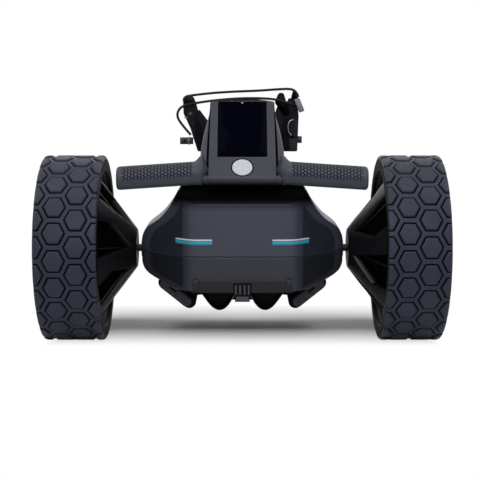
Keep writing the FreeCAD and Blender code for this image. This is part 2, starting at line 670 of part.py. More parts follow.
def bar_shape(radius):
    """A bent round bar that crosses the console, rises to each grip and runs out inside it."""
    centre = face_point("bar_along", "bar_depth")
    start, end = grip_line()
    low = Vector(0, 0, -val("bar_low"))
    tip = end - (end - start).normalize() * val("bar_short") + low
    half = [Vector(val("bar_straight"), centre.y, centre.z), start + low, tip]
    route = [Vector(-p.x, p.y, p.z) for p in reversed(half)] + half
    edges, left_off = [], route[0]
    for before, corner, after in zip(route, route[1:], route[2:]):
        inward = (before - corner).normalize()
        onward = (after - corner).normalize()
        half_turn = inward.getAngle(onward) / 2
        reach = val("bar_bend") / math.tan(half_turn)
        centre_line = (inward + onward).normalize()
        middle = corner + centre_line * (val("bar_bend") / math.sin(half_turn) - val("bar_bend"))
        first, last = corner + inward * reach, corner + onward * reach
        edges += [Part.makeLine(left_off, first), Part.Arc(first, middle, last).toShape()]
        left_off = last
    edges.append(Part.makeLine(left_off, route[-1]))
    section = Part.Wire([Part.makeCircle(radius, route[0], route[1] - route[0])])
    made = doc.addObject("Part::Feature", "Bar")
    made.Shape = Part.Wire(edges).makePipeShell([section], True, False)
    return made


def handle():
    """The bar and its two rubber grips, the ears that tilt on the end of the mast, and the tongue there."""
    radius = val("bar_radius")
    bar = bar_shape(radius)
    start, end = grip_line()

    for side, name in ((1, "right"), (-1, "left")):
        axis = Vector(side * (end - start).x, (end - start).y, (end - start).z)
        length = axis.Length
        body = new_body()
        drawn = body.newObject("Sketcher::SketchObject", "Section")
        drawn.AttachmentSupport = [(origin_part(body, "XY_Plane"), "")]
        drawn.MapMode = "FlatFace"
        drawn.addGeometry(Part.Ellipse(Vector(0, 0, 0), val("grip_high") / 2, val("grip_thick") / 2))
        pad(body, drawn, "grip_end - grip_start")
        fillet(body, "5", lambda e: e.BoundBox.ZMin > 10)
        turn = Rotation(Vector(0, 0, 1), axis)
        level = turn.inverted().multVec(Vector(0, 0, 1))
        roll = Rotation(Vector(0, 0, 1), math.degrees(math.atan2(level.y, level.x)))
        body.Placement = Placement(Vector(side * start.x, start.y, start.z), turn * roll)
        doc.recompute()
        node(cut(body, bar_shape(radius)), f"grip_{name}")

    ears = []
    for side in (-1, 1):
        x = "12.8" if side > 0 else "-12.8 - ear_wall"
        ears.append(rod("x", x, "tilt_along", "-tilt_depth", "tilt_ear", "ear_wall"))
        ears.append(rod("x", x, "bar_along", "-bar_depth", "bar_radius + 3", "ear_wall"))
        ears.append(box(x, "bar_along", "-tilt_depth", "ear_wall", "tilt_along - bar_along",
                        "tilt_depth - bar_depth + bar_radius"))
    bores = [rod("x", "-60", "tilt_along", "-tilt_depth", "pin_radius", "120"),
             rod("x", "-60", "bar_along", "-bar_depth", "bar_radius", "120")]
    node(fuse(bar, face_frame(cut(fuse(*ears), *bores))), "handle_bar")
    node(face_frame(rod("x", "-22", "tilt_along", "-tilt_depth", "pin_radius", "44")), "handle_pin")

    pivot = face_point("tilt_along", "tilt_depth")
    upper_z = val("knee_height * 2 - base_height")
    rear = val(AXLE_Y) - val("mast_rear")
    low = upper_z - val("mast_height") / 2
    high = upper_z + val("mast_height") / 2
    profile = [Vector(-12, rear, low), Vector(-12, rear, high - 8), Vector(-12, pivot.y, pivot.z + 8),
               Vector(-12, pivot.y, pivot.z - 8)]
    tongue = Part.Face(Part.makePolygon(profile + profile[:1])).extrude(Vector(24, 0, 0))
    tongue = tongue.fuse(Part.makeCylinder(8, 24, Vector(-12, pivot.y, pivot.z), Vector(1, 0, 0)))
    tongue = tongue.fuse(Part.makeBox(val("mast_width"), 8, val("mast_height"),
                                      Vector(-val("mast_width") / 2, rear - 8, low)))
    hole = Part.makeCylinder(val("pin_radius + pin_play"), 60, Vector(-30, pivot.y, pivot.z), Vector(1, 0, 0))
    piece = doc.addObject("Part::Feature", "Tongue")
    piece.Shape = tongue.removeSplitter().cut(hole)
    node(piece, "handle_tongue")


# Lower bag rest: a moulded saddle with two lobes under the housing, and a padded arm each side.

def lower_rest():
    """The saddle with a flange for each arm, the two arms, and the pins that they turn on."""
    lobes = [("77", "body_floor"), ("77", "saddle_low + 45"), ("50", "saddle_low + 7"),
             ("lobe_half", "saddle_low"), ("22", "saddle_low + 9"), ("10", "saddle_low + 33"),
             ("-10", "saddle_low + 33"), ("-22", "saddle_low + 9"), ("-lobe_half", "saddle_low"),
             ("-50", "saddle_low + 7"), ("-77", "saddle_low + 45"), ("-77", "body_floor")]
    saddle = slab(lobes, "saddle_rear", "saddle_front - saddle_rear")
    fillet(saddle, "4", lambda e: e.Vertexes[0].Z < val("body_floor") - 5
           and e.BoundBox.YLength > 50)
    saddle = place(saddle, "0", AXLE_Y, "0")
    flanges = []
    for side in (-1, 1):
        flanges.append(rod("y", f"{side} * arm_x", f"{AXLE_Y} + arm_front + 0.5", "arm_z", "10",
                           "saddle_front - arm_front - 0.5"))
        x = "50" if side > 0 else "-arm_x"
        flanges.append(box(x, f"{AXLE_Y} + arm_front + 0.5", "arm_z - 5", "arm_x - 50",
                           "saddle_front - arm_front - 0.5", "15"))
    bores = [rod("y", f"{s} * arm_x", f"{AXLE_Y} + arm_front - 5", "arm_z", "arm_pin", "40")
             for s in (-1, 1)]
    node(cut(fuse(saddle, *flanges), *bores), "lower_saddle")
    pins = []
    for side, name in ((1, "right"), (-1, "left")):
        x = f"{side} * arm_x"
        pins.append(rod("y", x, f"{AXLE_Y} + arm_rear + 8", "arm_z", "arm_pin",
                        "saddle_front - arm_rear - 8"))
        body = new_body()
        drawn = capsule(body, "arm_span", "arm_radius")
        pad(body, drawn, "arm_front - arm_rear", backwards=True)
        fillet(body, "3", lambda e: e.BoundBox.YLength < 0.01)
        body.Placement = Placement(Vector(), Rotation(Vector(0, 1, 0), -val("arm_angle"))
                                   if side > 0 else Rotation(Vector(0, 1, 0), -180 + val("arm_angle")))
        place(body, x, AXLE_Y, "arm_z")
        bore = rod("y", x, f"{AXLE_Y} + arm_rear + 7.9", "arm_z", "arm_pin + pin_play", "200")
        node(cut(body, bore), f"lower_arm_{name}")
    node(fuse(*pins), "lower_arm_pins")


def capsule(body, span, radius):
    """A stadium outline in X and Z from the pivot out along X."""
    drawn = body.newObject("Sketcher::SketchObject", "Stadium")
    drawn.AttachmentSupport = [(origin_part(body, "XZ_Plane"), "")]
    drawn.MapMode = "FlatFace"
    bind(drawn, AttachmentOffset__Base__z="-arm_rear")
    reach, r = val(span), val(radius)
    drawn.addGeometry(Part.LineSegment(Vector(0, -r, 0), Vector(reach, -r, 0)), False)
    drawn.addGeometry(Part.ArcOfCircle(Part.Circle(Vector(reach, 0, 0), Vector(0, 0, 1), r),
                                       -math.pi / 2, math.pi / 2), False)
    drawn.addGeometry(Part.LineSegment(Vector(reach, r, 0), Vector(0, r, 0)), False)
    drawn.addGeometry(Part.ArcOfCircle(Part.Circle(Vector(0, 0, 0), Vector(0, 0, 1), r),
                                       math.pi / 2, 3 * math.pi / 2), False)
    return drawn


def rear_lip():
    """A raised edge under the rear panel, with the latch of the folded frame in its middle."""
    y = f"({AXLE_Y} - body_rear - lip_depth)"
    lip = box("-panel_half + 1", y, "body_floor", "(panel_half - 1) * 2", "lip_depth", "lip_height")
    slot = box("-latch_half - ear_play", f"{y} - 1", "body_floor - 1",
               "(latch_half + ear_play) * 2", "lip_depth + 2", "lip_height + 2")
    pin_y = f"{y} + latch_wall / 2"
    pin_z = "body_floor + lip_height - 3"
    bore = rod("x", "-latch_half - 6", pin_y, pin_z, "1.5", "latch_half * 2 + 12")
    ends = [box(f"{s} * (panel_half - 5) - 4", y, "body_floor + lip_height", "8", "lip_depth", "5")
            for s in (-1, 1)]
    bridge = box("-latch_half - 6", f"{y} + lip_depth - 1", "body_floor + lip_height",
                 "latch_half * 2 + 12", "1", "4")
    node(cut(fuse(cut(lip, slot), bridge, *ends), bore), "rear_lip")
    node(rod("x", "-latch_half - 6", pin_y, pin_z, "1.5", "latch_half * 2 + 12"), "latch_pin")
    plate = box("-latch_half", y, "body_floor - 5", "latch_half * 2", "latch_wall",
                "lip_height + 2 + latch_wall / 2")
    tab = box("-11", f"{y} + 1", "body_floor - 14", "22", "3", "9")
    hole = rod("x", "-latch_half - 6", pin_y, pin_z, "1.5 + pin_play", "latch_half * 2 + 12")
    node(cut(fuse(plate, tab), hole), "fold_latch")


# Upper bag rest: a cross bar on the mast with two upright padded arms, tied over by bungee cord.

def upper_rest():
    """The cross bar with its bolts, the arms and struts, and the pegs, toggle and cords that tie the bag."""
    y = f"({AXLE_Y} + cradle_rear)"
    depth = "(cradle_front - cradle_rear)"
    node(box("-cradle_half", y, "cradle_base", "cradle_half * 2", depth, "cradle_high"), "cradle_bar")
    bolts = [rod("z", x, f"{y} + {depth} / 2", "cradle_base + cradle_high", "4.5", "4")
             for x in ("-10", "10")]
    node(fuse(*bolts), "cradle_bolts")
    low = "(cradle_base - 18)"
    left = [("-66", low), ("-73", f"{low}"), ("-85", "cradle_base + 20"), ("-96", "cradle_base + 44"),
            ("-96.5", "cradle_base + 64"), ("-92", "cradle_base + 70"), ("-80", "cradle_base + 70"),
            ("-76", "cradle_base + 60"), ("-66", "cradle_base + 20")]
    right = [("66", low), ("90", low), ("92", "cradle_base + 40"), ("90", "cradle_base + 60"),
             ("84", "cradle_base + 68"), ("76", "cradle_base + 68"), ("70", "cradle_base + 50"),
             ("66", "cradle_base + 20")]
    for name, points in (("left", left), ("right", right)):
        arm = slab(points, "cradle_rear", "cradle_front - cradle_rear")
        fillet(arm, "3", lambda e: e.BoundBox.YLength > 20)
        place(arm, "0", AXLE_Y, "0")
        node(arm, f"cradle_arm_{name}")
    strut_l = slab([("-65.8", "cradle_base + 21"), ("-72.6", "cradle_base + 48"), ("-70", "cradle_base + 50"),
                    ("-52", "cradle_base + 26"), ("-52", "cradle_base + cradle_high"),
                    ("-65.8", "cradle_base + cradle_high")], "cradle_rear", "10")
    strut_r = slab([("66", "cradle_base + cradle_high"), ("52", "cradle_base + cradle_high"),
                    ("52", "cradle_base + 40"), ("58", "cradle_base + 58"), ("69.5", "cradle_base + 50"),
                    ("66", "cradle_base + 21")], "cradle_rear", "10")
    node(fuse(place(strut_l, "0", AXLE_Y, "0"), place(strut_r, "0", AXLE_Y, "0")), "cradle_struts")
    pegs = [rod("x", "-102", f"{y} + 8", "cradle_base - 1", "5.7", "21.3"),
            rod("x", "91", f"{y} + 8", "cradle_base + 1", "5.7", "6.5")]
    node(fuse(*pegs), "cord_pegs")
    toggle = slab([("84.35", "cradle_base + 66.3"), ("92.65", "cradle_base + 69.7"),
                   ("101.15", "cradle_base + 48.7"), ("92.85", "cradle_base + 45.3")],
                  "cradle_rear - 11", "10.7")
    node(place(toggle, "0", AXLE_Y, "0"), "cord_toggle")
    cord("cord_top", [(-88, 110, 72.2), (-60, 109, 76), (-18, 108, 79), (26, 107, 80.5),
                      (58, 104, 83), (80, 96, 84), (88.5, 92.5, 78.5), (91, 91, 70.7)])
    cord("cord_front", [(-84, 93.7, 9), (-98, 93.7, 25), (-107.5, 93.7, 40), (-101.5, 93.7, 54.5),
                        (-84, 93.7, 59.5), (-53, 92, 64.5), (-5, 91, 69), (45, 91, 68.5),
                        (68, 91.5, 63.5), (86.2, 91.5, 57.7)])


def cord(label, route):
    """An elastic cord along straight runs joined by the largest arcs that the runs allow."""
    base = Vector(0, val(AXLE_Y), val("cradle_base"))
    points = [Vector(*p) + base for p in route]
    edges = []
    start = points[0]
    for before, here, after in zip(points, points[1:], points[2:]):
        into, out = here - before, after - here
        half = into.getAngle(out) / 2
        trim = 0.45 * min(into.Length, out.Length)
        first = here - into / into.Length * trim
        last = here + out / out.Length * trim
        inward = (first + last) * 0.5 - here
        rise = trim / math.tan(half) * (1 / math.cos(half) - 1)
        middle = here + inward / inward.Length * rise
        edges.append(Part.LineSegment(start, first).toShape())
        edges.append(Part.Arc(first, middle, last).toShape())
        start = last
    edges.append(Part.LineSegment(start, points[-1]).toShape())
    path = Part.Wire(edges)
    radius = val("cord_radius")
    ring = Part.Wire(Part.makeCircle(radius, points[0], points[1] - points[0]))
    piece = doc.addObject("Part::Feature", "Cord")
    piece.Shape = path.makePipeShell([ring], True, False)
    node(piece, label)


def main():
    """Builds every piece, stops if one failed, and writes one STEP file for each."""
    for side, name in ((1, "right"), (-1, "left")):
        drive_wheel(side, name)
    drive()
    shells()
    electrics()
    screws()
    spine()
    front_pin = front_hinge()
    front_leg()
    front_wheel()
    mast(front_pin)
    console()
    handle()
    lower_rest()
    rear_lip()
    upper_rest()
    doc.recompute()
    failed = [o.Label for o in doc.Objects if {"Invalid", "Error"} & set(o.State)]
    for piece in nodes:
        if piece.Shape.isNull() or not piece.Shape.isValid():
            failed.append(piece.Label)
    if failed:
        raise RuntimeError(f"pieces that failed: {failed}")
    os.makedirs("parts", exist_ok=True)
    for piece in nodes:
        piece.Shape.exportStep(f"parts/{piece.Label}.step")


main()
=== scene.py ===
"""An electric golf trolley, folded flat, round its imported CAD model. Metres, X right, Y forwards, Z up."""
import math

import bpy
import numpy as np
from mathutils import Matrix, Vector


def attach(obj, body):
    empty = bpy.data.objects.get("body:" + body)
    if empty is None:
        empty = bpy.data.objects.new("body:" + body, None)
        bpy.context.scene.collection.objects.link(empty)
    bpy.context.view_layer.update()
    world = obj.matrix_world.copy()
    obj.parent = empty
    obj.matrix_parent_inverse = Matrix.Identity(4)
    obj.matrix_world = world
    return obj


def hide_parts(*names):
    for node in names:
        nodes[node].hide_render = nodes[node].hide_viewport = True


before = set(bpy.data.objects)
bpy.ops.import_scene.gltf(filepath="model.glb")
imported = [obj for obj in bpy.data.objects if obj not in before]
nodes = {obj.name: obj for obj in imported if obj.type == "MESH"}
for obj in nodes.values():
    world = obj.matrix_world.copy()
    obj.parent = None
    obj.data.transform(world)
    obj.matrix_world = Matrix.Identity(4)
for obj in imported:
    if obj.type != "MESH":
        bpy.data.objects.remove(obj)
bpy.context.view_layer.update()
MM = 0.001
AXLE = np.array([0, -193, 145])  # the middle of the drive axle, in mm


# Studio. A white paper sweep, two long lamps overhead with a gap between them so that the screen stays
# dark, one broad lamp behind the camera, and a small one close over the rear panel, which falls off down
# it. The camera stands behind the trolley at knee height.

def linear(hexa):
    """An sRGB hex colour as the linear red, green, blue and alpha that a socket takes."""
    part = np.array([int(hexa[i:i + 2], 16) for i in (1, 3, 5)]) / 255
    low, high = part / 12.92, ((part + 0.055) / 1.055) ** 2.4
    return (*np.where(part <= 0.04045, low, high).tolist(), 1)


def add(tree, kind, inputs=(), **settings):
    """Adds a node. Settings are its properties, and inputs its sockets, each a value or the socket it
    links from."""
    made = tree.nodes.new("ShaderNode" + kind)
    for name, value in settings.items():
        setattr(made, name, value)
    for name, value in dict(inputs).items():
        if isinstance(value, bpy.types.NodeSocket):
            tree.links.new(value, made.inputs[name])
        else:
            made.inputs[name].default_value = value
    return made


def show(name, data):
    """Puts a mesh, curve, lamp or camera in the scene under that name."""
    made = bpy.data.objects.new(name, data)
    bpy.context.scene.collection.objects.link(made)
    return made


def lamp(name, place, aim, size, power):
    """An oblong area lamp, of that width and length, that faces aim."""
    made = show(name, bpy.data.lights.new(name, "AREA"))
    made.data.shape, made.data.energy = "RECTANGLE", power
    made.data.size, made.data.size_y = size
    made.location = place
    made.rotation_euler = (Vector(place) - Vector(aim)).to_track_quat("Z", "Y").to_euler()


camera = show("camera", bpy.data.cameras.new("camera"))
camera.location = (0, -2.093, 0.424)
camera.rotation_euler = (math.radians(82), 0, 0)
camera.data.lens, camera.data.sensor_width = 91.35, 36
camera.data.shift_x = -0.0048
scene = bpy.context.scene
scene.camera = camera
scene.view_settings.view_transform = "Standard"

lamp("lamp_over_left", (-1.25, -0.5, 1.9), (0, -0.15, 0.15), (0.9, 2.2), 15)
lamp("lamp_over_right", (1.25, -0.5, 1.9), (0, -0.15, 0.15), (0.9, 2.2), 15)
lamp("lamp_rear", (0, -3.4, 1.7), (0, -0.2, 0.2), (2.2, 1.2), 13)
lamp("lamp_panel", (0, -0.8, 0.62), (0, -0.29, 0.22), (0.5, 0.2), 1.3)


def backdrop_rays(tree):
    """1 for the rays that see plain white: the camera's, and those in gloss and through glass."""
    ray = add(tree, "LightPath").outputs
    direct = add(tree, "Math", {0: ray["Is Camera Ray"], 1: ray["Is Transmission Ray"]}, operation="MAXIMUM")
    return add(tree, "Math", {0: direct.outputs[0], 1: ray["Is Glossy Ray"]}, operation="MAXIMUM").outputs[0]


world = bpy.data.worlds.new("studio")
world.use_nodes = True
scene.world = world
tree = world.node_tree
glow = add(tree, "Math", {0: backdrop_rays(tree), 1: 0.74, 2: 0.26}, operation="MULTIPLY_ADD").outputs[0]
tree.links.new(glow, tree.nodes["Background"].inputs["Strength"])
tree.nodes["Background"].inputs["Color"].default_value = (1, 1, 1, 1)

# Matt white paper. Under the trolley it takes the shadow, and all round that it brightens to plain white,
# so that it meets the backdrop unseen. Only the camera sees it so; gloss shows it as lit.
paper = bpy.data.materials.new("white_paper")
paper.use_nodes = True
tree = paper.node_tree
shader = tree.nodes["Principled BSDF"]
shader.inputs["Base Color"].default_value = linear("#f4f4f4")
shader.inputs["Roughness"].default_value = 0.95
shader.inputs["Specular IOR Level"].default_value = 0.0
spot = add(tree, "TexCoord").outputs["Object"]
reach = add(tree, "VectorMath", {0: spot}, operation="LENGTH").outputs["Value"]
away = add(tree, "MapRange", {"Value": reach, "From Min": 0.3, "From Max": 0.6}).outputs[0]
axes = add(tree, "SeparateXYZ", {0: spot}).outputs
wide = add(tree, "Math", {0: axes["X"]}, operation="ABSOLUTE").outputs[0]
# Besides far out, it is white from under the tyres backwards, out beside them, and forwards of the housing.
for value, least, most in ((axes["Y"], -0.12, -0.25), (wide, 0.23, 0.31), (axes["Y"], -0.06, 0.08)):
    clear = add(tree, "MapRange", {"Value": value, "From Min": least, "From Max": most}).outputs[0]
    away = add(tree, "Math", {0: away, 1: clear}, operation="MAXIMUM").outputs[0]
seen = add(tree, "LightPath").outputs["Is Camera Ray"]
part_white = add(tree, "Math", {0: away, 1: seen}, operation="MULTIPLY").outputs[0]
white = add(tree, "Emission", {"Color": (1, 1, 1, 1), "Strength": 1.0}).outputs[0]
mixed = add(tree, "MixShader", {0: part_white, 1: shader.outputs[0], 2: white}).outputs[0]
tree.links.new(mixed, tree.nodes["Material Output"].inputs["Surface"])
sheet = bpy.data.meshes.new("floor")
sheet.from_pydata([(-9, -9, 0), (9, -9, 0), (9, 9, 0), (-9, 9, 0)], [], [(0, 1, 2, 3)])
sheet.materials.append(paper)
show("floor", sheet)


# Shock cords. Two lengths of 4 mm rubber cord in a woven polyester sleeve tie the bag to the upper rest.
# Each goes back into the object at both ends, at an arm, the peg or the toggle.

def finish(name, dark, light, patch, grain, height, rough, gleam=0.2, stretch=(1, 1, 1), **sockets):
    """A material. Its colour drifts from dark to light in patches of that size, and a grain of that size
    stands height proud and spreads the roughness over rough. Sizes are in metres, gleam is the specular
    level, stretch squeezes the grain along an axis, and sockets are other values set on the shader."""
    made = bpy.data.materials.new(name)
    made.use_nodes = True
    tree = made.node_tree
    shader = tree.nodes["Principled BSDF"]
    spot = add(tree, "TexCoord").outputs["Object"]
    drift = add(tree, "TexNoise", {"Vector": spot, "Scale": 1 / patch, "Detail": 2.0}).outputs["Fac"]
    colour = add(tree, "Mix", {0: drift, 6: linear(dark), 7: linear(light)}, data_type="RGBA").outputs[2]
    scaled = add(tree, "Mapping", {"Vector": spot, "Scale": stretch}).outputs[0]
    speck = add(tree, "TexNoise", {"Vector": scaled, "Scale": 1 / grain, "Detail": 3.0}).outputs["Fac"]
    span = add(tree, "MapRange", {"Value": speck, "To Min": rough[0], "To Max": rough[1]}).outputs[0]
    bump = add(tree, "Bump", {"Height": speck, "Distance": height, "Strength": 1.0}).outputs[0]
    tree.links.new(colour, shader.inputs["Base Color"])
    tree.links.new(span, shader.inputs["Roughness"])
    tree.links.new(bump, shader.inputs["Normal"])
    for socket, value in {"Specular IOR Level": gleam, **sockets}.items():
        shader.inputs[socket.replace("_", " ")].default_value = value
    return made


def route_cord(name, points, diameter, material):
    """A round cord on a NURBS line with these control points, in metres."""
    line = bpy.data.curves.new(name, "CURVE")
    line.dimensions = "3D"
    line.bevel_depth, line.bevel_resolution, line.resolution_u = diameter / 2, 4, 12
    spline = line.splines.new("NURBS")
    spline.points.add(len(points) - 1)
    spline.points.foreach_set("co", np.hstack([points, np.ones((len(points), 1))]).ravel())
    spline.order_u = 3
    spline.use_endpoint_u = True
    line.materials.append(material)
    return show(name, line)


# Polyester braid: satin black, whose fine weave shows as a soft grey speckle.
braid = finish("black_polyester_braid", "#0b0b0e", "#222228", 0.003, 0.0008, 0.0002, (0.5, 0.75))
CORD = 0.004
REST = AXLE + (0, 0, 163)  # above the axle, the underside of the rest's cross bar
top_run = (REST + np.array([
    (-88, 110, 72.2), (-60, 109, 76), (-18, 108, 79), (26, 107, 80.5), (58, 104, 83), (80, 96, 84),
    (88.5, 92.5, 78.5), (91, 91, 70.7)])) * MM
front_run = (REST + np.array([
    (-84, 93.7, 9), (-98, 93.7, 25), (-107.5, 93.7, 40), (-101.5, 93.7, 54.5), (-84, 93.7, 59.5),
    (-53, 92, 64.5), (-5, 91, 69), (45, 91, 68.5), (68, 91.5, 63.5), (86.2, 91.5, 57.7)])) * MM
for name, run, length in (("cord_top", top_run, 0.1884), ("cord_front", front_run, 0.243)):
    cord = route_cord("shock_" + name, run, CORD, braid)
    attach(cord, "mast_upper")
    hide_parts(name)


# Drive tyres. Solid moulded rubber, 290 mm across and 94 mm wide. Hexagonal blocks stand in a lattice
# round the tread, each inside its own groove, and alternate rows are half a block out of step.

def skin(name, grid, material, ends=()):
    """A closed mesh from a grid of points in mm, (rows, columns, 3). Columns close on themselves. Rows do
    too, unless ends names the rows (0 and -1) that are each closed by one face instead. Its faces point
    outwards: the volume they hold, summed from the middle, is made positive."""
    rows, columns = grid.shape[:2]
    ring = np.arange(rows * columns).reshape(rows, columns)
    index = ring if len(ends) else np.vstack([ring, ring[:1]])
    index = np.hstack([index, index[:, :1]])
    quads = np.stack([index[:-1, :-1], index[:-1, 1:], index[1:, 1:], index[1:, :-1]], -1).reshape(-1, 4)
    at = grid.reshape(-1, 3) - grid.reshape(-1, 3).mean(0)
    a, b, c, d = (at[quads[:, i]] for i in range(4))
    held = np.sum(np.cross(a, b) * c + np.cross(a, c) * d)
    for end in ends:
        loop = at[ring[end]]
        face = np.cross(loop, np.roll(loop, -1, 0)).sum(0)
        held += (1 if end else -1) * loop.mean(0) @ face
    faces = quads.tolist() + [(ring[-1] if end else ring[0][::-1]).tolist() for end in ends]
    made = bpy.data.meshes.new(name)
    made.from_pydata((grid.reshape(-1, 3) * MM).tolist(), [], faces)
    if held < 0:
        made.flip_normals()
    made.materials.append(material)
    made.shade_smooth()
    return show(name, made)


def settle(piece, body, slot, *replaced):
    """The piece rides on that body and stands for those CAD nodes. The slot is not used."""
    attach(piece, body)
    if replaced:
        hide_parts(*replaced)
    return piece


def hex_edge(x, y, half_wide, half_tall):
    """How far a point is outside a hexagon, negative inside: the larger of its distances past a flat and
    a slant. The hexagon has two corners on the x axis and two flats across the y axis."""
    slant = np.abs(x) * half_tall + np.abs(y) * half_wide / 2 - half_wide * half_tall
    return np.maximum(np.abs(y) - half_tall, slant / math.hypot(half_tall, half_wide / 2))


def nearest_block(x, y, pitch_x, pitch_y, half_wide, half_tall, columns):
    """The distance outside the nearest hexagon of a staggered lattice, whose odd columns are half a step
    along."""
    best = np.full(np.broadcast(x, y).shape, 99.0)
    for column in columns:
        along = (y - (column % 2) * pitch_y / 2 + pitch_y / 2) % pitch_y - pitch_y / 2
        best = np.minimum(best, hex_edge(x - (column + 0.5) * pitch_x, along, half_wide, half_tall))
    return best


def ease(low, high, value):
    """A smooth step from 0 at low to 1 at high."""
    share = np.clip((value - low) / (high - low), 0, 1)
    return share * share * (3 - 2 * share)


def mark_painted_shade(piece, values):
    """Gives each point of a piece from skin its value of the attribute hollow, which carries painted shade.
    """
    hollow = piece.data.attributes.new("hollow", "FLOAT", "POINT")
    hollow.data.foreach_set("value", np.ravel(values).astype(np.float32))
    return piece


def tone_painted_shade(material, hexa):
    """Paints shade: turns a material to this dark colour, without a gleam, where the attribute hollow is 1.
    """
    tree = material.node_tree
    shader = tree.nodes["Principled BSDF"]
    plain = shader.inputs["Base Color"].links[0].from_socket
    hollow = add(tree, "Attribute", attribute_name="hollow").outputs["Fac"]
    toned = add(tree, "Mix", {0: hollow, 6: plain, 7: linear(hexa)}, data_type="RGBA").outputs[2]
    tree.links.new(toned, shader.inputs["Base Color"])
    gleam = shader.inputs["Specular IOR Level"]
    dulled = add(tree, "MapRange", {"Value": hollow, "To Min": gleam.default_value, "To Max": 0.0}).outputs[0]
    tree.links.new(dulled, gleam)


BLOCK_RISE, GROOVE_SINK = 1.8, 1.8


def tyre(name, middle, half_wide, radius, bore, shoulder, count, block, pitch, material):
    """A ring whose section runs across the tread, round both shoulders, down the walls and back along the
    bore. The blocks stand over the lattice, and a groove runs round each. The attribute hollow is 1
    there, as painted shade in the grooves, and 0.9 on the wall and bore, which are darkened and dulled too."""
    corner = np.linspace(0, math.pi / 2, 6)[1:-1]
    across = np.linspace(shoulder - half_wide, half_wide - shoulder, 78)
    base, edge = radius - BLOCK_RISE, half_wide - shoulder
    wall = np.linspace(base - shoulder, bore + 1.5, 4)
    x = np.concatenate([-edge - shoulder * np.cos(corner), across, edge + shoulder * np.sin(corner),
                        [half_wide] * 4, np.linspace(half_wide - 1.5, 1.5 - half_wide, 7), [-half_wide] * 4])
    r = np.concatenate([base - shoulder + shoulder * np.sin(corner), np.full(78, base),
                        base - shoulder + shoulder * np.cos(corner), wall, np.full(7, bore), wall[::-1]])
    turn = np.linspace(0, 2 * math.pi, 40 * count, endpoint=False)[:, None]
    outside = nearest_block(x[None], turn * radius, pitch, 2 * math.pi * radius / count, *block, range(-3, 3))
    groove = ease(-0.1, 0.4, outside) * (1 - ease(1.9, 2.7, outside))
    fade = ease(base - shoulder, base - shoulder * 0.3, r)[None]
    high = r[None] + fade * (BLOCK_RISE * (1 - ease(-0.9, 0.3, outside)) - GROOVE_SINK * groove)
    grid = np.stack([np.broadcast_to(x[None] + middle[0], high.shape), middle[1] + high * np.sin(turn),
                     middle[2] + high * np.cos(turn)], -1)
    dull = np.where(np.arange(len(x)) < len(x) - 15, 0, 0.9)  # the last 15 columns are the walls and the bore
    return mark_painted_shade(skin(name, grid, material), np.maximum(groove * fade, dull))


# Moulded rubber: dark blue-grey and matt, with a dry bloom. Painted shade makes it near black in the grooves.
rubber = finish("moulded_tyre_rubber", "#282b37", "#353948", 0.05, 0.0016, 0.00012, (0.33, 0.48), 0.17)
# Painted shade: near black and without gleam in the grooves, and nearly so on the walls and bore.
tone_painted_shade(rubber, "#030304")
SIDES = ((1, "right"), (-1, "left"))
for side, word in SIDES:
    made = tyre("hex_tyre_" + word, AXLE + (side * 261, 0, 0), half_wide=47, radius=145, bore=121, shoulder=5,
                count=22, block=(15.4, 14.9), pitch=32, material=rubber)
    settle(made, "wheel_" + word, "tyre_rubber", "tyre_" + word)


# Housing. Two moulded ABS half shells, painted satin charcoal, meet at a seam level with the axle. The
# rear panel is flat, the flanks are hollowed above the seam, and the top slopes back over the panel like
# a brow.

def soft_loop(corners, count, soften):
    """A closed loop through corners, as count points evenly spaced, whose corners are then rounded by
    averaging each point with its neighbours over the length soften."""
    corners = np.array(corners, float)
    legs = np.linalg.norm(np.roll(corners, -1, 0) - corners, axis=1)
    marks = np.concatenate([[0], np.cumsum(legs)])
    at = np.linspace(0, marks[-1], count, endpoint=False)
    closed = np.vstack([corners, corners[:1]])
    loop = np.stack([np.interp(at, marks, closed[:, i]) for i in range(closed.shape[1])], 1)
    return round_off(loop, soften / (marks[-1] / count))


def round_off(loop, reach):
    """Averages the points of closed loops, (..., points, values), under a bell curve reach points wide."""
    steps = np.arange(-int(reach), int(reach) + 1)
    weight = np.exp(-0.5 * (steps / max(reach / 2, 0.5)) ** 2)
    return sum(w * np.roll(loop, s, -2) for s, w in zip(steps, weight / weight.sum()))


PLAN = [(157, -25), (157, 40), (117, 75), (-117, 75), (-157, 40), (-157, -25), (-76, -100), (76, -100)]
FLANK = [(92, 100), (95, 108), (105, 137), (112, 151), (124, 157), (165, 157), (182, 149), (197, 127),
         (214, 113), (249, 93)]  # height and half width


def housing_loops(heights, inset):
    """The housing's outline at each height: the plan from above, cut off at the flank's half width there
    and at the slope of the brow, with its corners rounded, and moved in by inset."""
    level, half = np.array(FLANK, float).T
    fine = np.arange(80, 260, 1.0)
    bell = np.exp(-0.5 * (np.arange(-9, 10) / 4) ** 2)
    smooth = np.convolve(np.interp(fine, level, half), bell / bell.sum(), "same")
    wide = np.interp(heights, fine, smooth)[:, None] - inset
    rear = -100 + inset + 1.4 * np.maximum(heights - 224, 0)[:, None]
    x, y = soft_loop(PLAN, 300, 1).T
    shape = np.stack([np.clip(x[None], -wide, wide), np.clip(y[None], rear, 75 - inset)], -1)
    return round_off(shape, 5.5)


WALL = 3


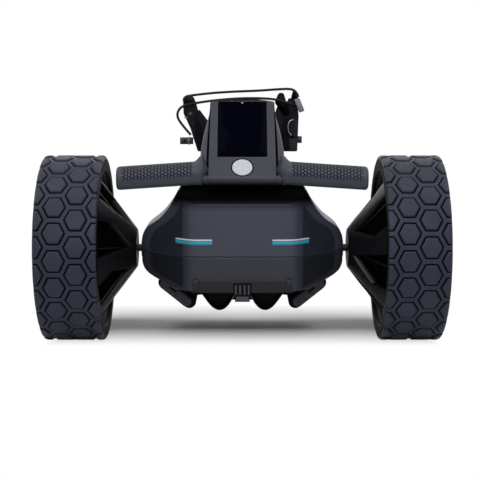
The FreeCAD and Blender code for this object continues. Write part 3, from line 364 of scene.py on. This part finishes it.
def housing_shell(name, heights, material):
    """A hollow half shell: outline after outline up or down the outside, over the end, and back inside.
    Next to the seam it is drawn in by 1 mm, which leaves the parting line as a fine V. The attribute
    hollow rises over the brow as painted shade, near black where the console shades it."""
    outer = housing_loops(heights, 0)
    outer[0] *= 0.993
    end = outer[-1:] * np.array([0.985, 0.97, 0.8, 0.4, 0.02])[:, None, None]
    lift = np.sign(heights[-1] - heights[0])
    rows = np.concatenate([outer, end, end[::-1] * 0.98, housing_loops(heights, WALL)[::-1]])
    tops = heights[-1] + lift * np.array([1.2, 1.6, 1.6, 1.6, 1.6])
    back = heights[::-1] - lift * np.linspace(WALL, 0, len(heights))
    z = np.concatenate([heights, tops, tops[::-1] - lift * WALL, back])[:, None, None]
    grid = np.concatenate([rows, np.broadcast_to(z, (*rows.shape[:2], 1))], -1) + (0, AXLE[1], 0)
    return mark_painted_shade(skin(name, grid, material), 0.97 * ease(212, 232, grid[..., 2]))


# Satin paint over ABS: charcoal with a cool cast, a faint orange peel, and a soft broad sheen.
satin = finish("satin_charcoal_paint", "#363945", "#3d404d", 0.15, 0.0011, 0.00004, (0.3, 0.4), 0.35)
# Painted shade: the paint turns near black over the brow, where the console shades it.
tone_painted_shade(satin, "#020203")
# Painted shade: the same paint, made darker on the lower shell, for the light falling off down the housing.
shaded_lower_paint = finish("satin_paint_shaded_below", "#2b2d35", "#32343d", 0.15, 0.0011, 0.00004, (0.3, 0.4), 0.3)
upper = np.concatenate([[145.35, 146.2], np.linspace(148, 224, 40), np.linspace(226, 242.4, 10)])
lower = np.concatenate([[144.65, 143.8], np.linspace(142, 93.6, 34)])
settle(housing_shell("housing_upper", upper, satin), "chassis", "housing_plastic", "upper_shell")
settle(housing_shell("housing_lower", lower, shaded_lower_paint), "chassis", "lower_plastic", "lower_shell")


# Pinstripes. A thin white line over a teal band, printed on the rear panel either side of a bare middle,
# and bent round onto the flanks. They are screen-printed over the paint.

def stripe(name, side, low, high, material):
    """A band printed on the rear of the housing from 45 to 101 mm out, a tenth of a millimetre proud of
    it. Its points lie on the outline at each height, found by how far out they are."""
    out = side * np.linspace(45, 101, 30)
    heights = np.linspace(low, high, 3)
    loops = housing_loops(heights, 0)
    rear = loops[:, loops[0, :, 1] < -30]
    depth = []
    for loop in rear:
        order = np.argsort(loop[:, 0])
        depth.append(np.interp(out, loop[order, 0], loop[order, 1]))
    depth = np.array(depth)
    x = np.broadcast_to(out, depth.shape)
    z = np.broadcast_to(heights[:, None], depth.shape)
    face = np.stack([x, depth - 0.12, z], -1)
    back = np.stack([x, depth + 0.1, z], -1)
    grid = np.concatenate([face, back[::-1]]) + (0, AXLE[1], 0)
    return skin(name, grid.transpose(1, 0, 2), material, ends=(0, -1))


# Screen-printed ink: flat and even, with a slight gloss.
white_ink = finish("white_printing_ink", "#c3c6cb", "#ced1d5", 0.02, 0.001, 0.00001, (0.35, 0.45))
teal_ink = finish("teal_printing_ink", "#2a8fa9", "#3a9db5", 0.02, 0.001, 0.00001, (0.35, 0.45))
for side, word in SIDES:
    settle(stripe(f"pinstripe_white_{word}", side, 169.2, 171.6, white_ink), "chassis", "housing_plastic")
    settle(stripe(f"pinstripe_teal_{word}", side, 163.4, 168.4, teal_ink), "chassis", "housing_plastic")


# Rear edge and latch. The lower shell ends in a raised lip with a lug at each corner, and a sprung latch
# in its middle holds the folded frame. The latch is black nylon with finger ribs and a grey pull tab.

def dress(material, width, *names):
    """Gives CAD nodes, which stay as they are, a material. Their sharp moulded or cut edges are rounded by
    width, in mm, over faces joined into one surface."""
    for name in names:
        node = nodes[name]
        node.data.materials.clear()
        node.data.materials.append(material)
        node.data.shade_smooth()
        node.modifiers.new("joined", "WELD").merge_threshold = 0.01 * MM
        round_edge = node.modifiers.new("rounded", "BEVEL")
        round_edge.width, round_edge.segments = width * MM, 2
        round_edge.limit_method, round_edge.angle_limit = "ANGLE", math.radians(32)


def moulding(name, rows, depths, frame_of, material, ends=(0, -1)):
    """A closed piece from loops of (a, b) points, one for each depth: a runs along the first axis of its
    frame, b along the second, and depth along the third, from the origin. The loops named in ends are
    closed flat."""
    origin, along, up, inward = (np.array(v, float) for v in frame_of)
    rows = np.array(rows)
    depth = np.broadcast_to(np.array(depths, float).reshape(len(rows), -1), rows.shape[:2])
    grid = origin + rows[..., :1] * along + rows[..., 1:2] * up + depth[..., None] * inward
    return skin(name, grid, material, ends)


def shrink(loop, amount):
    """An anticlockwise loop moved in by amount, square to itself."""
    run = np.roll(loop, -1, 0) - np.roll(loop, 1, 0)
    out = np.stack([run[:, 1], -run[:, 0]], 1) / np.maximum(np.linalg.norm(run, axis=1), 1e-9)[:, None]
    return loop - out * np.reshape(amount, (-1, 1))


def plate(name, loop, front, back, edge, frame_of, material, dome=0):
    """A flat piece from depth front to back whose front edge is a round of that radius and whose back
    edge is a small one. A dome lifts its middle."""
    turn = np.linspace(0, math.pi / 2, 5)
    insets = [*(edge * (1 - np.sin(turn))), 0, min(edge, 1) * 0.6]
    depths = [*(front + edge * (1 - np.cos(turn))), back - min(edge, 1) * 0.6, back]
    if dome:
        insets = [edge + dome * 6, edge + dome * 2.5, *insets]
        depths = [front - dome, front - dome * 0.6, *depths]
    return moulding(name, [shrink(loop, inset) for inset in insets], depths, frame_of, material)


def box_loop(low, high, soften=2, count=80):
    """A rectangle between two corners, with rounded corners."""
    (a, b), (c, d) = low, high
    return soft_loop([(a, b), (c, b), (c, d), (a, d)], count, soften)


BELOW_AXLE = AXLE * (1, 1, 0)
SQUARE = (BELOW_AXLE, (1, 0, 0), (0, 0, 1), (0, 1, 0))  # X across, Z up, depth forwards of the axle
# Painted shade: the rear lip gets a black darker than the housing's paint, for the shade it lies in.
lip_shade_black = finish("black_abs_painted_shade", "#17181c", "#1e1f24", 0.05, 0.0011, 0.00006, (0.35, 0.45), 0.25)
dress(lip_shade_black, 0.8, "rear_lip")
# Glass-filled nylon: hard, matt black, with a dry fine grain.
nylon = finish("black_filled_nylon", "#060608", "#0f0f12", 0.02, 0.0009, 0.00006, (0.5, 0.65), 0.08)
grey_nylon = finish("grey_filled_nylon", "#3c3c42", "#4a4a50", 0.02, 0.0009, 0.00006, (0.42, 0.55))
dress(nylon, 0.4, "fold_latch", "latch_pin")
for number, x in enumerate((-9.6, -3.4, 3.4, 9.6)):
    outline = box_loop((x - 1.3, 89.5), (x + 1.3, 103.5), 1, 40)
    rib = plate(f"latch_rib_{number + 1}", outline, -107.2, -105.8, 0.4, SQUARE, grey_nylon)
    settle(rib, "fold_latch", "latch_plastic")
tab = plate("latch_tab_face", box_loop((-9.5, 79.2), (9.5, 86.2), 1.5, 60), -105.9, -104.9, 0.5, SQUARE,
            grey_nylon)
settle(tab, "fold_latch", "latch_plastic")


# Top deck. A flat plate over the mouth of the upper shell, inside the brow, is painted shade: dead black
# and matt, for the shade the console casts there.

LEVEL = (BELOW_AXLE, (1, 0, 0), (0, 1, 0), (0, 0, -1))  # X across, Y forwards, depth downwards from the floor
# Painted shade: a dead black without gleam, for the deck under the console and the hub shrouds deep in the
# wheels.
painted_shade = finish("matt_black_painted_shade", "#040405", "#08080a", 0.03, 0.001, 0.00005, (0.55, 0.7), 0.0)
mouth = housing_loops(np.array([242.4]), 2.5)[0]
settle(plate("housing_top_deck", mouth, -245.6, -242, 1, LEVEL, painted_shade), "chassis", "gloss_black")


# Lower bag rest. A glossy black saddle with two lobes hangs under the housing, and a rubber-faced arm
# swings on a pin at each side of it.

LOBES = [(77, 92), (-77, 92), (-77, 78), (-50, 40), (-36, 33), (-22, 42), (-10, 66), (10, 66), (22, 42),
         (36, 33), (50, 40), (77, 78)]
# Polished ABS: deep black with a mirror-like coat, so that it shows only small hard highlights.
polish = finish("polished_black_abs", "#010102", "#030304", 0.08, 0.004, 0.00001, (0.14, 0.2), 0.05)
lobes = soft_loop(LOBES, 260, 16)
insets = np.array([8, 6.6, 4.4, 2.4, 1.0, 0.2, 0, 0, 1.5])
depths = [30, 30.3, 31.5, 34, 38, 43, 48, 116.5, 118]
saddle = moulding("two_lobe_saddle", [shrink(lobes, inset) for inset in insets], depths, SQUARE, polish)
settle(saddle, "chassis", "gloss_black", "lower_saddle")


def stadium(start, end, radius, count=120):
    """A loop with straight sides and half-round ends, from start to end."""
    start, end = np.array(start, float), np.array(end, float)
    bearing = math.atan2(*(end - start)[::-1])
    turn = np.linspace(-math.pi / 2, math.pi / 2, count // 2) + bearing
    cap = radius * np.stack([np.cos(turn), np.sin(turn)], 1)
    return np.concatenate([end + cap, start - cap])


# Soft-touch rubber over nylon: warm grey, matt, with a moulded pebble grain about 2 mm across.
pebble = finish("pebbled_pad_rubber", "#303036", "#55555c", 0.008, 0.0022, 0.0006, (0.5, 0.7), 0.2)
LEAN = math.radians(39)  # how far the arms rise from level when they are folded in
# How far along the arm each moulded slot starts and ends, how far off its middle line, and its radius.
SLOTS = ((27, 37, -0.5, 1.8), (16, 27, 8.2, 2.1), (31, 44, 8.2, 2.1))
for side, word in SIDES:
    pivot = np.array([side * 84.5, 57])
    bearing = np.array([side * math.cos(LEAN), math.sin(LEAN)])
    inner = np.array([-bearing[1], bearing[0]]) * side
    outline = stadium((side * 52, 60), pivot, 9.8)
    flange = plate("saddle_flange_" + word, outline, 110.6, 117.8, 1.5, SQUARE, polish)
    settle(flange, "chassis", "gloss_black")
    body = "lower_arm_" + word
    arm = plate("core_of_" + body, stadium(pivot, pivot + bearing * 49, 11), 4, 109.8, 5, SQUARE, nylon)
    settle(arm, body, "pad_rubber", body)
    ends = [pivot + bearing * reach - inner * 2.4 for reach in (3, 48)]
    pad = plate("pad_of_" + body, stadium(*ends, 8.4), 2.6, 12, 3.5, SQUARE, pebble)
    settle(pad, body, "pad_rubber")
    for number, (near, far, off, radius) in enumerate(SLOTS):
        ends = [pivot + bearing * reach + inner * off for reach in (near, far)]
        front = 2.3 if off < 0 else 4.6
        slot = plate(f"{body}_slot_{number + 1}", stadium(*ends, radius, 40), front, 9, 0.4, SQUARE, nylon)
        settle(slot, body, "pad_rubber")


# Wheel centres. Six broad blades slope in from the rim to a long hub, all one glass-filled nylon moulding
# with stiffening ribs, and a ribbed sleeve shrouds the hub behind them. The hub slides onto a splined
# steel shaft.

# Semi-gloss nylon: black with a slight blue sheen off the flat blades.
sheen = finish("semi_gloss_nylon", "#07080a", "#0e0f12", 0.06, 0.002, 0.00003, (0.3, 0.42), 0.22)


def ribs(name, count, start, stop, width, height, turned, material, centre, side):
    """Straight ribs from (x, radius) at start to stop, count of them round the axle. Each is a four-sided
    bar that stands height over the line and sinks 0.4 of that under it, and tapers to three quarters of
    its width."""
    start, stop = np.array(start, float), np.array(stop, float)
    share = np.linspace(0, 1, 8)[:, None]
    line = start + (stop - start) * share
    normal = np.array([-(stop - start)[1], (stop - start)[0]]) / np.linalg.norm(stop - start)
    half = width / 2 * (1 - 0.25 * share)
    points = []
    for across, rise in ((-1, -1), (1, -1), (0.6, 1), (-0.6, 1)):
        at = line + normal * height * (1 if rise > 0 else -0.4)
        points.append(np.stack([at[:, 0], at[:, 1], across * half[:, 0]], 1))
    bar = np.stack(points, 1)
    made = []
    for angle in turned + np.arange(count) * 2 * math.pi / count:
        y = bar[..., 1] * math.sin(angle) + bar[..., 2] * math.cos(angle)
        z = bar[..., 1] * math.cos(angle) - bar[..., 2] * math.sin(angle)
        grid = np.stack([side * bar[..., 0], y, z], -1) + centre
        made.append(skin(name + str(len(made)), grid, material, ends=(0, -1)))
    return join(name, made)


def join(name, pieces):
    """One object from several."""
    with bpy.context.temp_override(active_object=pieces[0], selected_editable_objects=pieces):
        bpy.ops.object.join()
    pieces[0].name = pieces[0].data.name = name
    return pieces[0]


def turned_ring(name, profile, middle, material, side=1, flutes=0, depth=0, count=144):
    """A ring turned about the axle from a closed outline of (x, radius). Flutes are shallow scallops
    round it."""
    profile = np.array(profile, float)
    turn = np.linspace(0, 2 * math.pi, count, endpoint=False)[:, None]
    r = profile[None, :, 1] - depth * (0.5 - 0.5 * np.cos(turn * flutes))
    x = np.broadcast_to(profile[None, :, 0] * side, r.shape)
    return skin(name, np.stack([x, r * np.sin(turn), r * np.cos(turn)], -1) + middle, material)


dress(sheen, 0.6, "wheel_centre_left", "wheel_centre_right")
steel = finish("turned_steel", "#8f9197", "#b4b6bb", 0.01, 0.0006, 0.00003, (0.25, 0.4), 0.5, Metallic=1.0)
black_steel = finish("blackened_steel", "#1d1e21", "#2b2c30", 0.01, 0.0006, 0.00003, (0.3, 0.45), 0.5,
                     Metallic=0.8)
dress(black_steel, 0.2, "drive_shaft_left", "drive_shaft_right", "axle_bearings")
dress(nylon, 0.5, "wheel_release_left", "wheel_release_right")
for side, word in SIDES:
    wheel = "wheel_" + word
    for number, turned in enumerate((0.37, 0.65)):
        made = ribs(f"spoke_ribs_{word}_{number + 1}", count=6, start=(178, 31), stop=(229, 112), width=3,
                    height=1.6, turned=turned, material=sheen, centre=AXLE, side=side)
        settle(made, wheel, "wheel_plastic")
    # Painted shade: the shroud, deep in the wheel, takes the dead black without gleam.
    shroud = turned_ring("hub_shroud_" + word, [(176, 27), (236, 113), (236, 109), (182, 22)], AXLE, painted_shade,
                         side, flutes=24, depth=1.6)
    settle(shroud, wheel, "wheel_plastic")
    sleeve = turned_ring("hub_sleeve_" + word, [(166, 31.4), (184, 33.5), (184, 29), (166, 28)], AXLE, sheen,
                         side, flutes=30, depth=1.2)
    settle(sleeve, wheel, "wheel_plastic")


# Console. An ABS face plate with side cheeks that widen down to the grips, painted satin graphite. It holds
# a flush glass screen, and a round metal power button that stands in a well, so that it can be pressed.

TILT = math.radians(46.85)
# X across, then up along the face from its lower edge, with depth into the console.
FACE = (AXLE + (0, -105, 121), (1, 0, 0), (0, math.cos(TILT), math.sin(TILT)),
        (0, math.sin(TILT), -math.cos(TILT)))
# Satin paint: graphite, a shade darker and cooler than the housing, with a finer orange peel.
graphite = finish("satin_graphite_paint", "#2b2d35", "#33363f", 0.12, 0.0009, 0.00003, (0.34, 0.44), 0.3)
# Painted shade: near black where the attribute hollow is 1.
tone_painted_shade(graphite, "#08080a")


def console_sections():
    """Three paths up the face, one point a row. The crest is along, depth and half width: it climbs round
    the lower lip, then runs up the flat face, whose width narrows. The under path is along and depth of
    the cheeks' lower edge, and the inner path of the hollow behind the face."""
    lip = [(10, 26, 55.5), (4, 20.5, 55.5), (-3, 13.6, 56), (-8, 8.9, 56.5), (-8.7, 7.6, 56.7),
           (-8.2, 6.7, 57), (-4, 3.2, 58.5), (-1.2, 0.9, 59.5), (0.2, 0.05, 60)]
    behind_lip = [(10.8, 25.4), (6.2, 18.4), (-0.8, 11.5), (-4.9, 7.8), (-4.8, 7.3), (-4.6, 6.9), (-2.4, 6.4),
                  (-0.5, 6.2), (0.6, 6.1)]
    along = np.linspace(1, 147.5, 196)
    wide = np.interp(along, [0, 41, 60, 85, 116, 128, 148], [60, 63.3, 62.6, 59.5, 54, 51, 49.6])
    wide = round_off(np.pad(wide, 30, "edge")[:, None], 12)[30:-30, 0]
    crest = np.vstack([lip, np.stack([along, 0 * along, wide], 1)])
    under = np.stack([np.interp(crest[:, 0], [-9, 10, 22, 148], [10, 20, 24, 148]),
                      np.interp(crest[:, 0], [-9, 10, 22, 148], [25, 14, 12, 12])], 1)
    under[0] = (10.4, 26.2)
    inner = np.stack([crest[:, 0], np.interp(crest[:, 0], [138, 144], [6, 12])], 1)
    inner[:len(lip)] = behind_lip
    return crest, under, inner


def console_grid(crest, under, inner):
    """Rows of (across, along, depth). Each row runs over a cheek, which falls away as a power of its
    width, up an edge, over the flat face and down the other side, then back underneath. The top edge is
    arched as a parabola across the face, and so, less, is the underside."""
    s, depth, half = crest.T[:, :, None]
    low_s, low_depth = under.T[:, :, None]
    inner_s, inner_depth = inner.T[:, :, None]
    plate_half = np.interp(s, [0, 148], [50.6, 48.4])
    share = np.linspace(0, 1, 11)[1:]
    cheek = plate_half + 1.2 + (half - plate_half - 1.2) * share ** 0.8
    cheek_drop = 0.7 + 0.72 * (low_depth - depth) * ease(0, 12, s) * share ** 1.35
    edge, edge_drop = plate_half + [0.1, 1], 0 * plate_half + [1.5, 1.8]
    flat = np.linspace(-plate_half[:, 0], plate_half[:, 0], 150, axis=1)
    top = np.hstack([-cheek[:, ::-1], -edge[:, ::-1], flat, edge, cheek])
    drop = np.hstack([cheek_drop[:, ::-1], edge_drop[:, ::-1], 0 * flat, edge_drop, cheek_drop])
    arch = 6 * ease(90, 148, s) * (1 - (top / 50) ** 2)
    middle = np.linspace(half[:, 0] - 5.5, 5.5 - half[:, 0], 12, axis=1)
    below = np.hstack([half - 1.5, half - 4.5, middle, 4.5 - half, 1.5 - half])
    inside = np.abs(below) < half - 5
    low_arch = np.interp(s, [100, 148], [0, 2.4]) * (1 - (below / 60) ** 2)
    below_s = np.where(inside, inner_s, low_s) + low_arch
    below_depth = np.where(inside, inner_depth, low_depth)
    return np.concatenate([np.stack([top, s + arch, depth + drop], -1),
                           np.stack([below, below_s, below_depth], -1)], 1)


UNDERSIDE = 16  # how many points at the end of each row lie underneath
crest, under, inner = console_sections()
shape = console_grid(crest, under, inner)
# The button's well is 4.4 mm deep and 16 mm in radius, and the pane's recess is 2.2 mm deep.
off = np.hypot(shape[..., 0], shape[..., 1] - 18)
well = 4.4 * (1 - ease(15.6, 16.5, off)) + 0.5 * (1 - ease(16.5, 17.6, off))
recess = 2.2 * (1 - ease(37.1, 37.8, np.abs(shape[..., 0])))
recess = recess * ease(38.1, 38.8, shape[..., 1]) * (1 - ease(148.2, 148.9, shape[..., 1]))
column = np.arange(shape.shape[1])
shape[..., 2] += np.maximum(well, recess) * (column < len(column) - UNDERSIDE)
shell = moulding("console_face", shape[..., :2], shape[..., 2], FACE, graphite)
# Painted shade: the grooves between the face plate and its cheeks are darkened, and so is the lip, where it
# turns under.
console_painted_shade = np.isin(column, (9, 10, 11, 162, 163, 164)) * ease(0, 6, crest[:, :1]) * (crest[:, 1:2] < 0.1)
console_painted_shade = np.maximum(console_painted_shade, 0.9 * ease(2, 6, crest[:, 1:2]))
settle(mark_painted_shade(shell, console_painted_shade), "handle", "console_plastic", "console_shell")

# Toughened glass over a dead display: black with a trace of blue, and a small white lamp window at the top.
glass = finish("black_screen_glass", "#010109", "#02020e", 0.06, 0.004, 0.0, (0.06, 0.1), 0.008)
pane = plate("screen_pane", box_loop((-37, 39), (37, 148), 1.5, 200), 0.02, 2, 0.4, FACE, glass)
settle(pane, "handle", "screen_glass", "screen_glass")
dot = stadium((-0.1, 145), (0.1, 145), 1.1, 32)
settle(plate("screen_lamp_window", dot, -0.06, 0.4, 0.05, FACE, white_ink), "handle", "screen_glass")

# Bead-blasted aluminium button: pale silver with a coarse sparkle. A black nylon ring round its well is
# painted shade, for the shade in the gap round the button.
blasted = finish("blasted_button_metal", "#9b9ea5", "#d9dbe0", 0.0022, 0.0009, 0.0001, (0.5, 0.7), 0.4)
disc = stadium((-0.05, 18), (0.05, 18), 15, 120)
button = plate("power_cap", disc, -0.6, 2.4, 1.0, FACE, blasted, dome=0.35)
settle(button, "power_button", "button_metal", "power_button")
circle = stadium((-0.05, 18), (0.05, 18), 15.6, 120)
rings = [shrink(circle, inset) for inset in (-1.5, -1.5, -0.1, 0, 0, -1.2)]
# Painted shade: a black ring at the mouth of the well.
well_shade_ring = moulding("button_well_shade_ring", rings, [0.1, 3, 4, 4, 0.5, 0], FACE, nylon, ends=())
settle(well_shade_ring, "handle", "console_plastic")


# Grips. Soft rubber sleeves, oval and 130 mm long, are pulled over the ends of a bent aluminium bar. The
# top of each carries a fine honeycomb, and its inner end flares up to the cheek of the console.

def grip(name, side, material):
    """Rings of an ellipse along the grip's axis, flared at the inner end and rounded at the outer. The
    honeycomb is sunk round 5 mm cells, over the top and the rear, and the attribute hollow is 1 in it,
    which paints shade in the cells."""
    start, end = np.array([57.0, -90, 126]), np.array([186.5, -98, 118])
    length = np.linalg.norm(end - start)
    inner, outer = np.linspace(2.4, length - 5, 250), np.linspace(0, math.pi / 2, 9)[1:]
    run = np.concatenate([inner, length - 5 + 5 * np.sin(outer)])[:, None]
    drawn_in = np.concatenate([0 * inner, 5 * (1 - np.cos(outer))])[:, None]
    turn = np.linspace(0, 2 * math.pi, 240, endpoint=False)[None]
    flare = (1 - ease(2, 17, run)) ** 1.4
    upper = np.maximum(np.sin(turn), 0) ** 0.8
    groove_shell = 0.9 * np.exp(-((run - 5.2) / 0.5) ** 2)
    high = 17.5 - drawn_in + flare * (9 * upper + 1.0) - groove_shell
    thick = 16 - drawn_in + flare * 1.5 - groove_shell
    arc = turn * 16.7
    cell = nearest_block(run, arc, 4.9, 2 * math.pi * 16.7 / 20, 2.45, 2.15, range(0, 28))
    patch = ease(16, 17.2, run) * (1 - ease(length - 8.6, length - 7.4, run))
    patch = patch * ease(0.12, 0.2, (turn - 0.9) / math.pi) * (1 - ease(1.02, 1.1, turn / math.pi))
    pit = ease(-0.15, 0.35, cell) * patch
    y, z = (thick - 0.75 * pit) * np.cos(turn), (high - 0.75 * pit) * np.sin(turn)
    axis = start + (end - start) * (run / length)[..., None]
    grid = np.stack([axis[..., 0] + 0 * y, axis[..., 1] + y, axis[..., 2] + z], -1) * (side, 1, 1) + AXLE
    return mark_painted_shade(skin(name, grid, material, ends=(0, -1)), pit + 0 * y)


def collar(name, side, material):
    """The knuckle where the console's cheek meets the grip: rings about the handle bar that swell from a
    radius of 5 mm to 17.6 mm and rise at the top, by the cube of the way along, to meet the flare of the
    grip."""
    share = np.linspace(0, 1, 24)[:, None]
    turn = np.linspace(0, 2 * math.pi, 120, endpoint=False)[None]
    swell = 5 + 12.6 * ease(0, 1, share) ** 0.8
    high = swell * (1 + 0.04 * np.sin(turn)) + 9 * share ** 3 * np.maximum(np.sin(turn), 0) ** 0.8
    x = side * (49.5 + 9.7 * share) + 0 * high
    grid = np.stack([x, -90 + swell * np.cos(turn) * 0.97, 126.4 + high * np.sin(turn)], -1)
    return skin(name, grid + AXLE, material, ends=(0, -1))


# Soft rubber: slate grey with a dull shine, and painted shade that darkens the cells' grooves.
soft = finish("soft_grip_rubber", "#333641", "#3d404c", 0.03, 0.0012, 0.00005, (0.36, 0.5), 0.3)
tone_painted_shade(soft, "#0a0a0d")
for side, word in SIDES:
    settle(grip("honeycomb_grip_" + word, side, soft), "handle", "grip_rubber", "grip_" + word)
    settle(collar("console_collar_" + word, side, graphite), "handle", "console_plastic")


# Upper bag rest. Two upright arms stand on a cross bar at the mast. Each is a nylon core in coarse woven
# webbing, with a cap, pads and straps on its rear, and a peg, a ring and a toggle for the cords.

BEHIND = (REST, (1, 0, 0), (0, 0, 1), (0, 1, 0))  # X across, Z over the bar, depth forwards of the axle
# Woven webbing: black, coarse, with pale threads that catch the light.
webbing = finish("coarse_black_webbing", "#020203", "#34353b", 0.003, 0.0013, 0.0012, (0.6, 0.85), 0.05)
mesh = finish("grey_mesh_pad", "#060608", "#2c2d33", 0.0035, 0.0016, 0.0009, (0.5, 0.75), 0.1)
strap = finish("slate_nylon_strap", "#181a20", "#262a33", 0.02, 0.0010, 0.0003, (0.45, 0.6), 0.3, (1, 1, 6))
pale = finish("pale_grey_acetal", "#6f7278", "#8d9096", 0.01, 0.0009, 0.00004, (0.35, 0.5), 0.3)
dress(webbing, 1.6, "cradle_arm_left", "cradle_arm_right")
dress(webbing, 1.0, "cradle_struts")
dress(grey_nylon, 2.2, "cord_pegs")
dress(pale, 1.6, "cord_toggle")
dress(nylon, 1.0, "cradle_bar")
# Each plate's name, its outline, the depths of its rear and front, the round of its edge, and its material.
for name, corners, front, back, edge, material in (
        ("rest_cap_left", [(-97, 62), (-79.5, 62), (-79.5, 68), (-83, 73), (-92, 73.6), (-97, 69)],
         93, 122, 3, mesh),
        ("rest_band_left", [(-95.8, 36.7), (-87.4, 36.9), (-87.4, 38.5), (-95.8, 38.3)], 94.8, 97, 0.5, pale),
        ("rest_buckle_left", [(-88, 40), (-81.4, 41), (-81.8, 47), (-87.5, 46)], 94.4, 97, 0.8, grey_nylon),
        ("rest_mesh_left", [(-75, 50), (-66, 20), (-54, 20), (-54, 27), (-71, 49)], 94.6, 105, 1.2, mesh),
        ("rest_inner_left", [(-77, 42), (-77, 4), (-70, -16), (-66.5, -16), (-66.5, 22)],
         95.2, 97, 0.6, nylon),
        ("rest_web_right", [(54, 62), (60, 76), (66, 76), (76, 44), (70, 40)], 95, 104, 1.5, webbing),
        ("rest_hook_right", [(80, 68), (83, 80), (87, 79), (90, 68)], 95, 103, 1.2, nylon),
        ("rest_inner_right", [(66.5, -16), (75.5, -16), (76, 30), (74, 42), (66.5, 40)],
         95.2, 97, 0.6, nylon),
        ("rest_strap_right", [(77, -17), (89.6, -17), (90, 5), (77, 5)], 94.2, 97, 1.2, strap),
        ("rest_sleeve_right", [(76, 4), (90.6, 4), (91, 30), (88.5, 35), (83, 36.5), (78, 34.5), (76, 29)],
         90.5, 97, 4, mesh)):
    part = plate(name, soft_loop(corners, 90, 3), front, back, edge, BEHIND, material)
    settle(part, "mast_upper", "pad_rubber")
for number in range(8):
    low = 6.2 + 3.4 * number
    outline = box_loop((84.2, low), (90.4, low + 1.5), 0.8, 40)
    rib = plate(f"rest_sleeve_rib_{number + 1}", outline, 90.2, 94, 0.5, BEHIND, strap)
    settle(rib, "mast_upper", "pad_rubber")
for name, centre, radius, front in (("rest_screw_left", (-91.5, 67.4), 2.1, 92.7),
                                    ("peg_screw_left", (-94.6, -0.5), 2.0, 97.9),
                                    ("rest_screw_right", (83, 30.6), 1.6, 90.1)):
    head = stadium(centre, np.array(centre) + (0.05, 0), radius, 40)
    screw = plate(name, head, front, front + 3, 0.3, BEHIND, nylon)
    settle(screw, "mast_upper", "pad_rubber")
washer = turned_ring("peg_washer_left", [(-88.6, 6.5), (-86.6, 6.5), (-86.6, 5), (-88.6, 5)],
                     REST + (0, 104, -1), pale)
settle(washer, "mast_upper", "toggle_plastic")
hoop_run = (REST + np.array([
    (83, 91, 34), (77.5, 90.4, 33), (74.6, 90, 27), (74.4, 90, 20), (76, 90.4, 12), (80, 91, 9)])) * MM
settle(route_cord("rest_hoop_right", hoop_run, 0.0016, steel), "mast_upper", "steel")


# Mast, spine and front leg. Black anodised aluminium tubes carry powder-coated castings, and turned steel
# pins and bolts join them. The front wheel has the same rubber as the drive tyres.

anodised = finish("black_anodised_aluminium", "#17181b", "#1f2024", 0.05, 0.0008, 0.00003, (0.35, 0.5), 0.5,
                  (1, 8, 1), Metallic=0.6)
cast = finish("powder_coated_casting", "#1c1d20", "#26272b", 0.03, 0.0010, 0.00012, (0.5, 0.65), 0.25)
dress(anodised, 0.8, "spine_tube", "lower_mast_tube", "upper_mast_tube", "front_leg_tube", "handle_bar")
dress(cast, 0.8, "spine_bracket", "front_bracket", "mast_bracket", "mast_knuckle", "knee_bracket",
      "knee_tongue", "handle_tongue", "front_fork", "stem_cap")
dress(nylon, 0.8, "knee_lever", "front_wheel_centre", "battery_tray", "console_tray")
dress(steel, 0.3, "hinge_pins", "handle_pin", "front_axle", "lower_arm_pins", "cradle_bolts", "shell_screws")
dress(rubber, 2.0, "front_tyre")


# Drive and electronics. Inside the shells sit two can motors with die-cast gearboxes, a battery in its
# tray, and a control board. A second board lies behind the screen.

can = finish("plated_motor_can", "#5d5f63", "#74767b", 0.02, 0.0008, 0.00003, (0.3, 0.42), 0.5, Metallic=1.0)
die_cast = finish("die_cast_zinc", "#6b6d71", "#7f8186", 0.015, 0.0012, 0.0002, (0.45, 0.6), 0.4,
                  Metallic=1.0)
case = finish("battery_case_abs", "#1d222c", "#252b37", 0.03, 0.0010, 0.00006, (0.45, 0.6), 0.3)
laminate = finish("green_board_laminate", "#0f3b26", "#17503a", 0.012, 0.0009, 0.00008, (0.35, 0.5), 0.4)
dress(can, 0.6, "motors")
dress(die_cast, 0.5, "gearboxes")
dress(case, 1.2, "battery_pack")
dress(laminate, 0.2, "control_board", "screen_board")
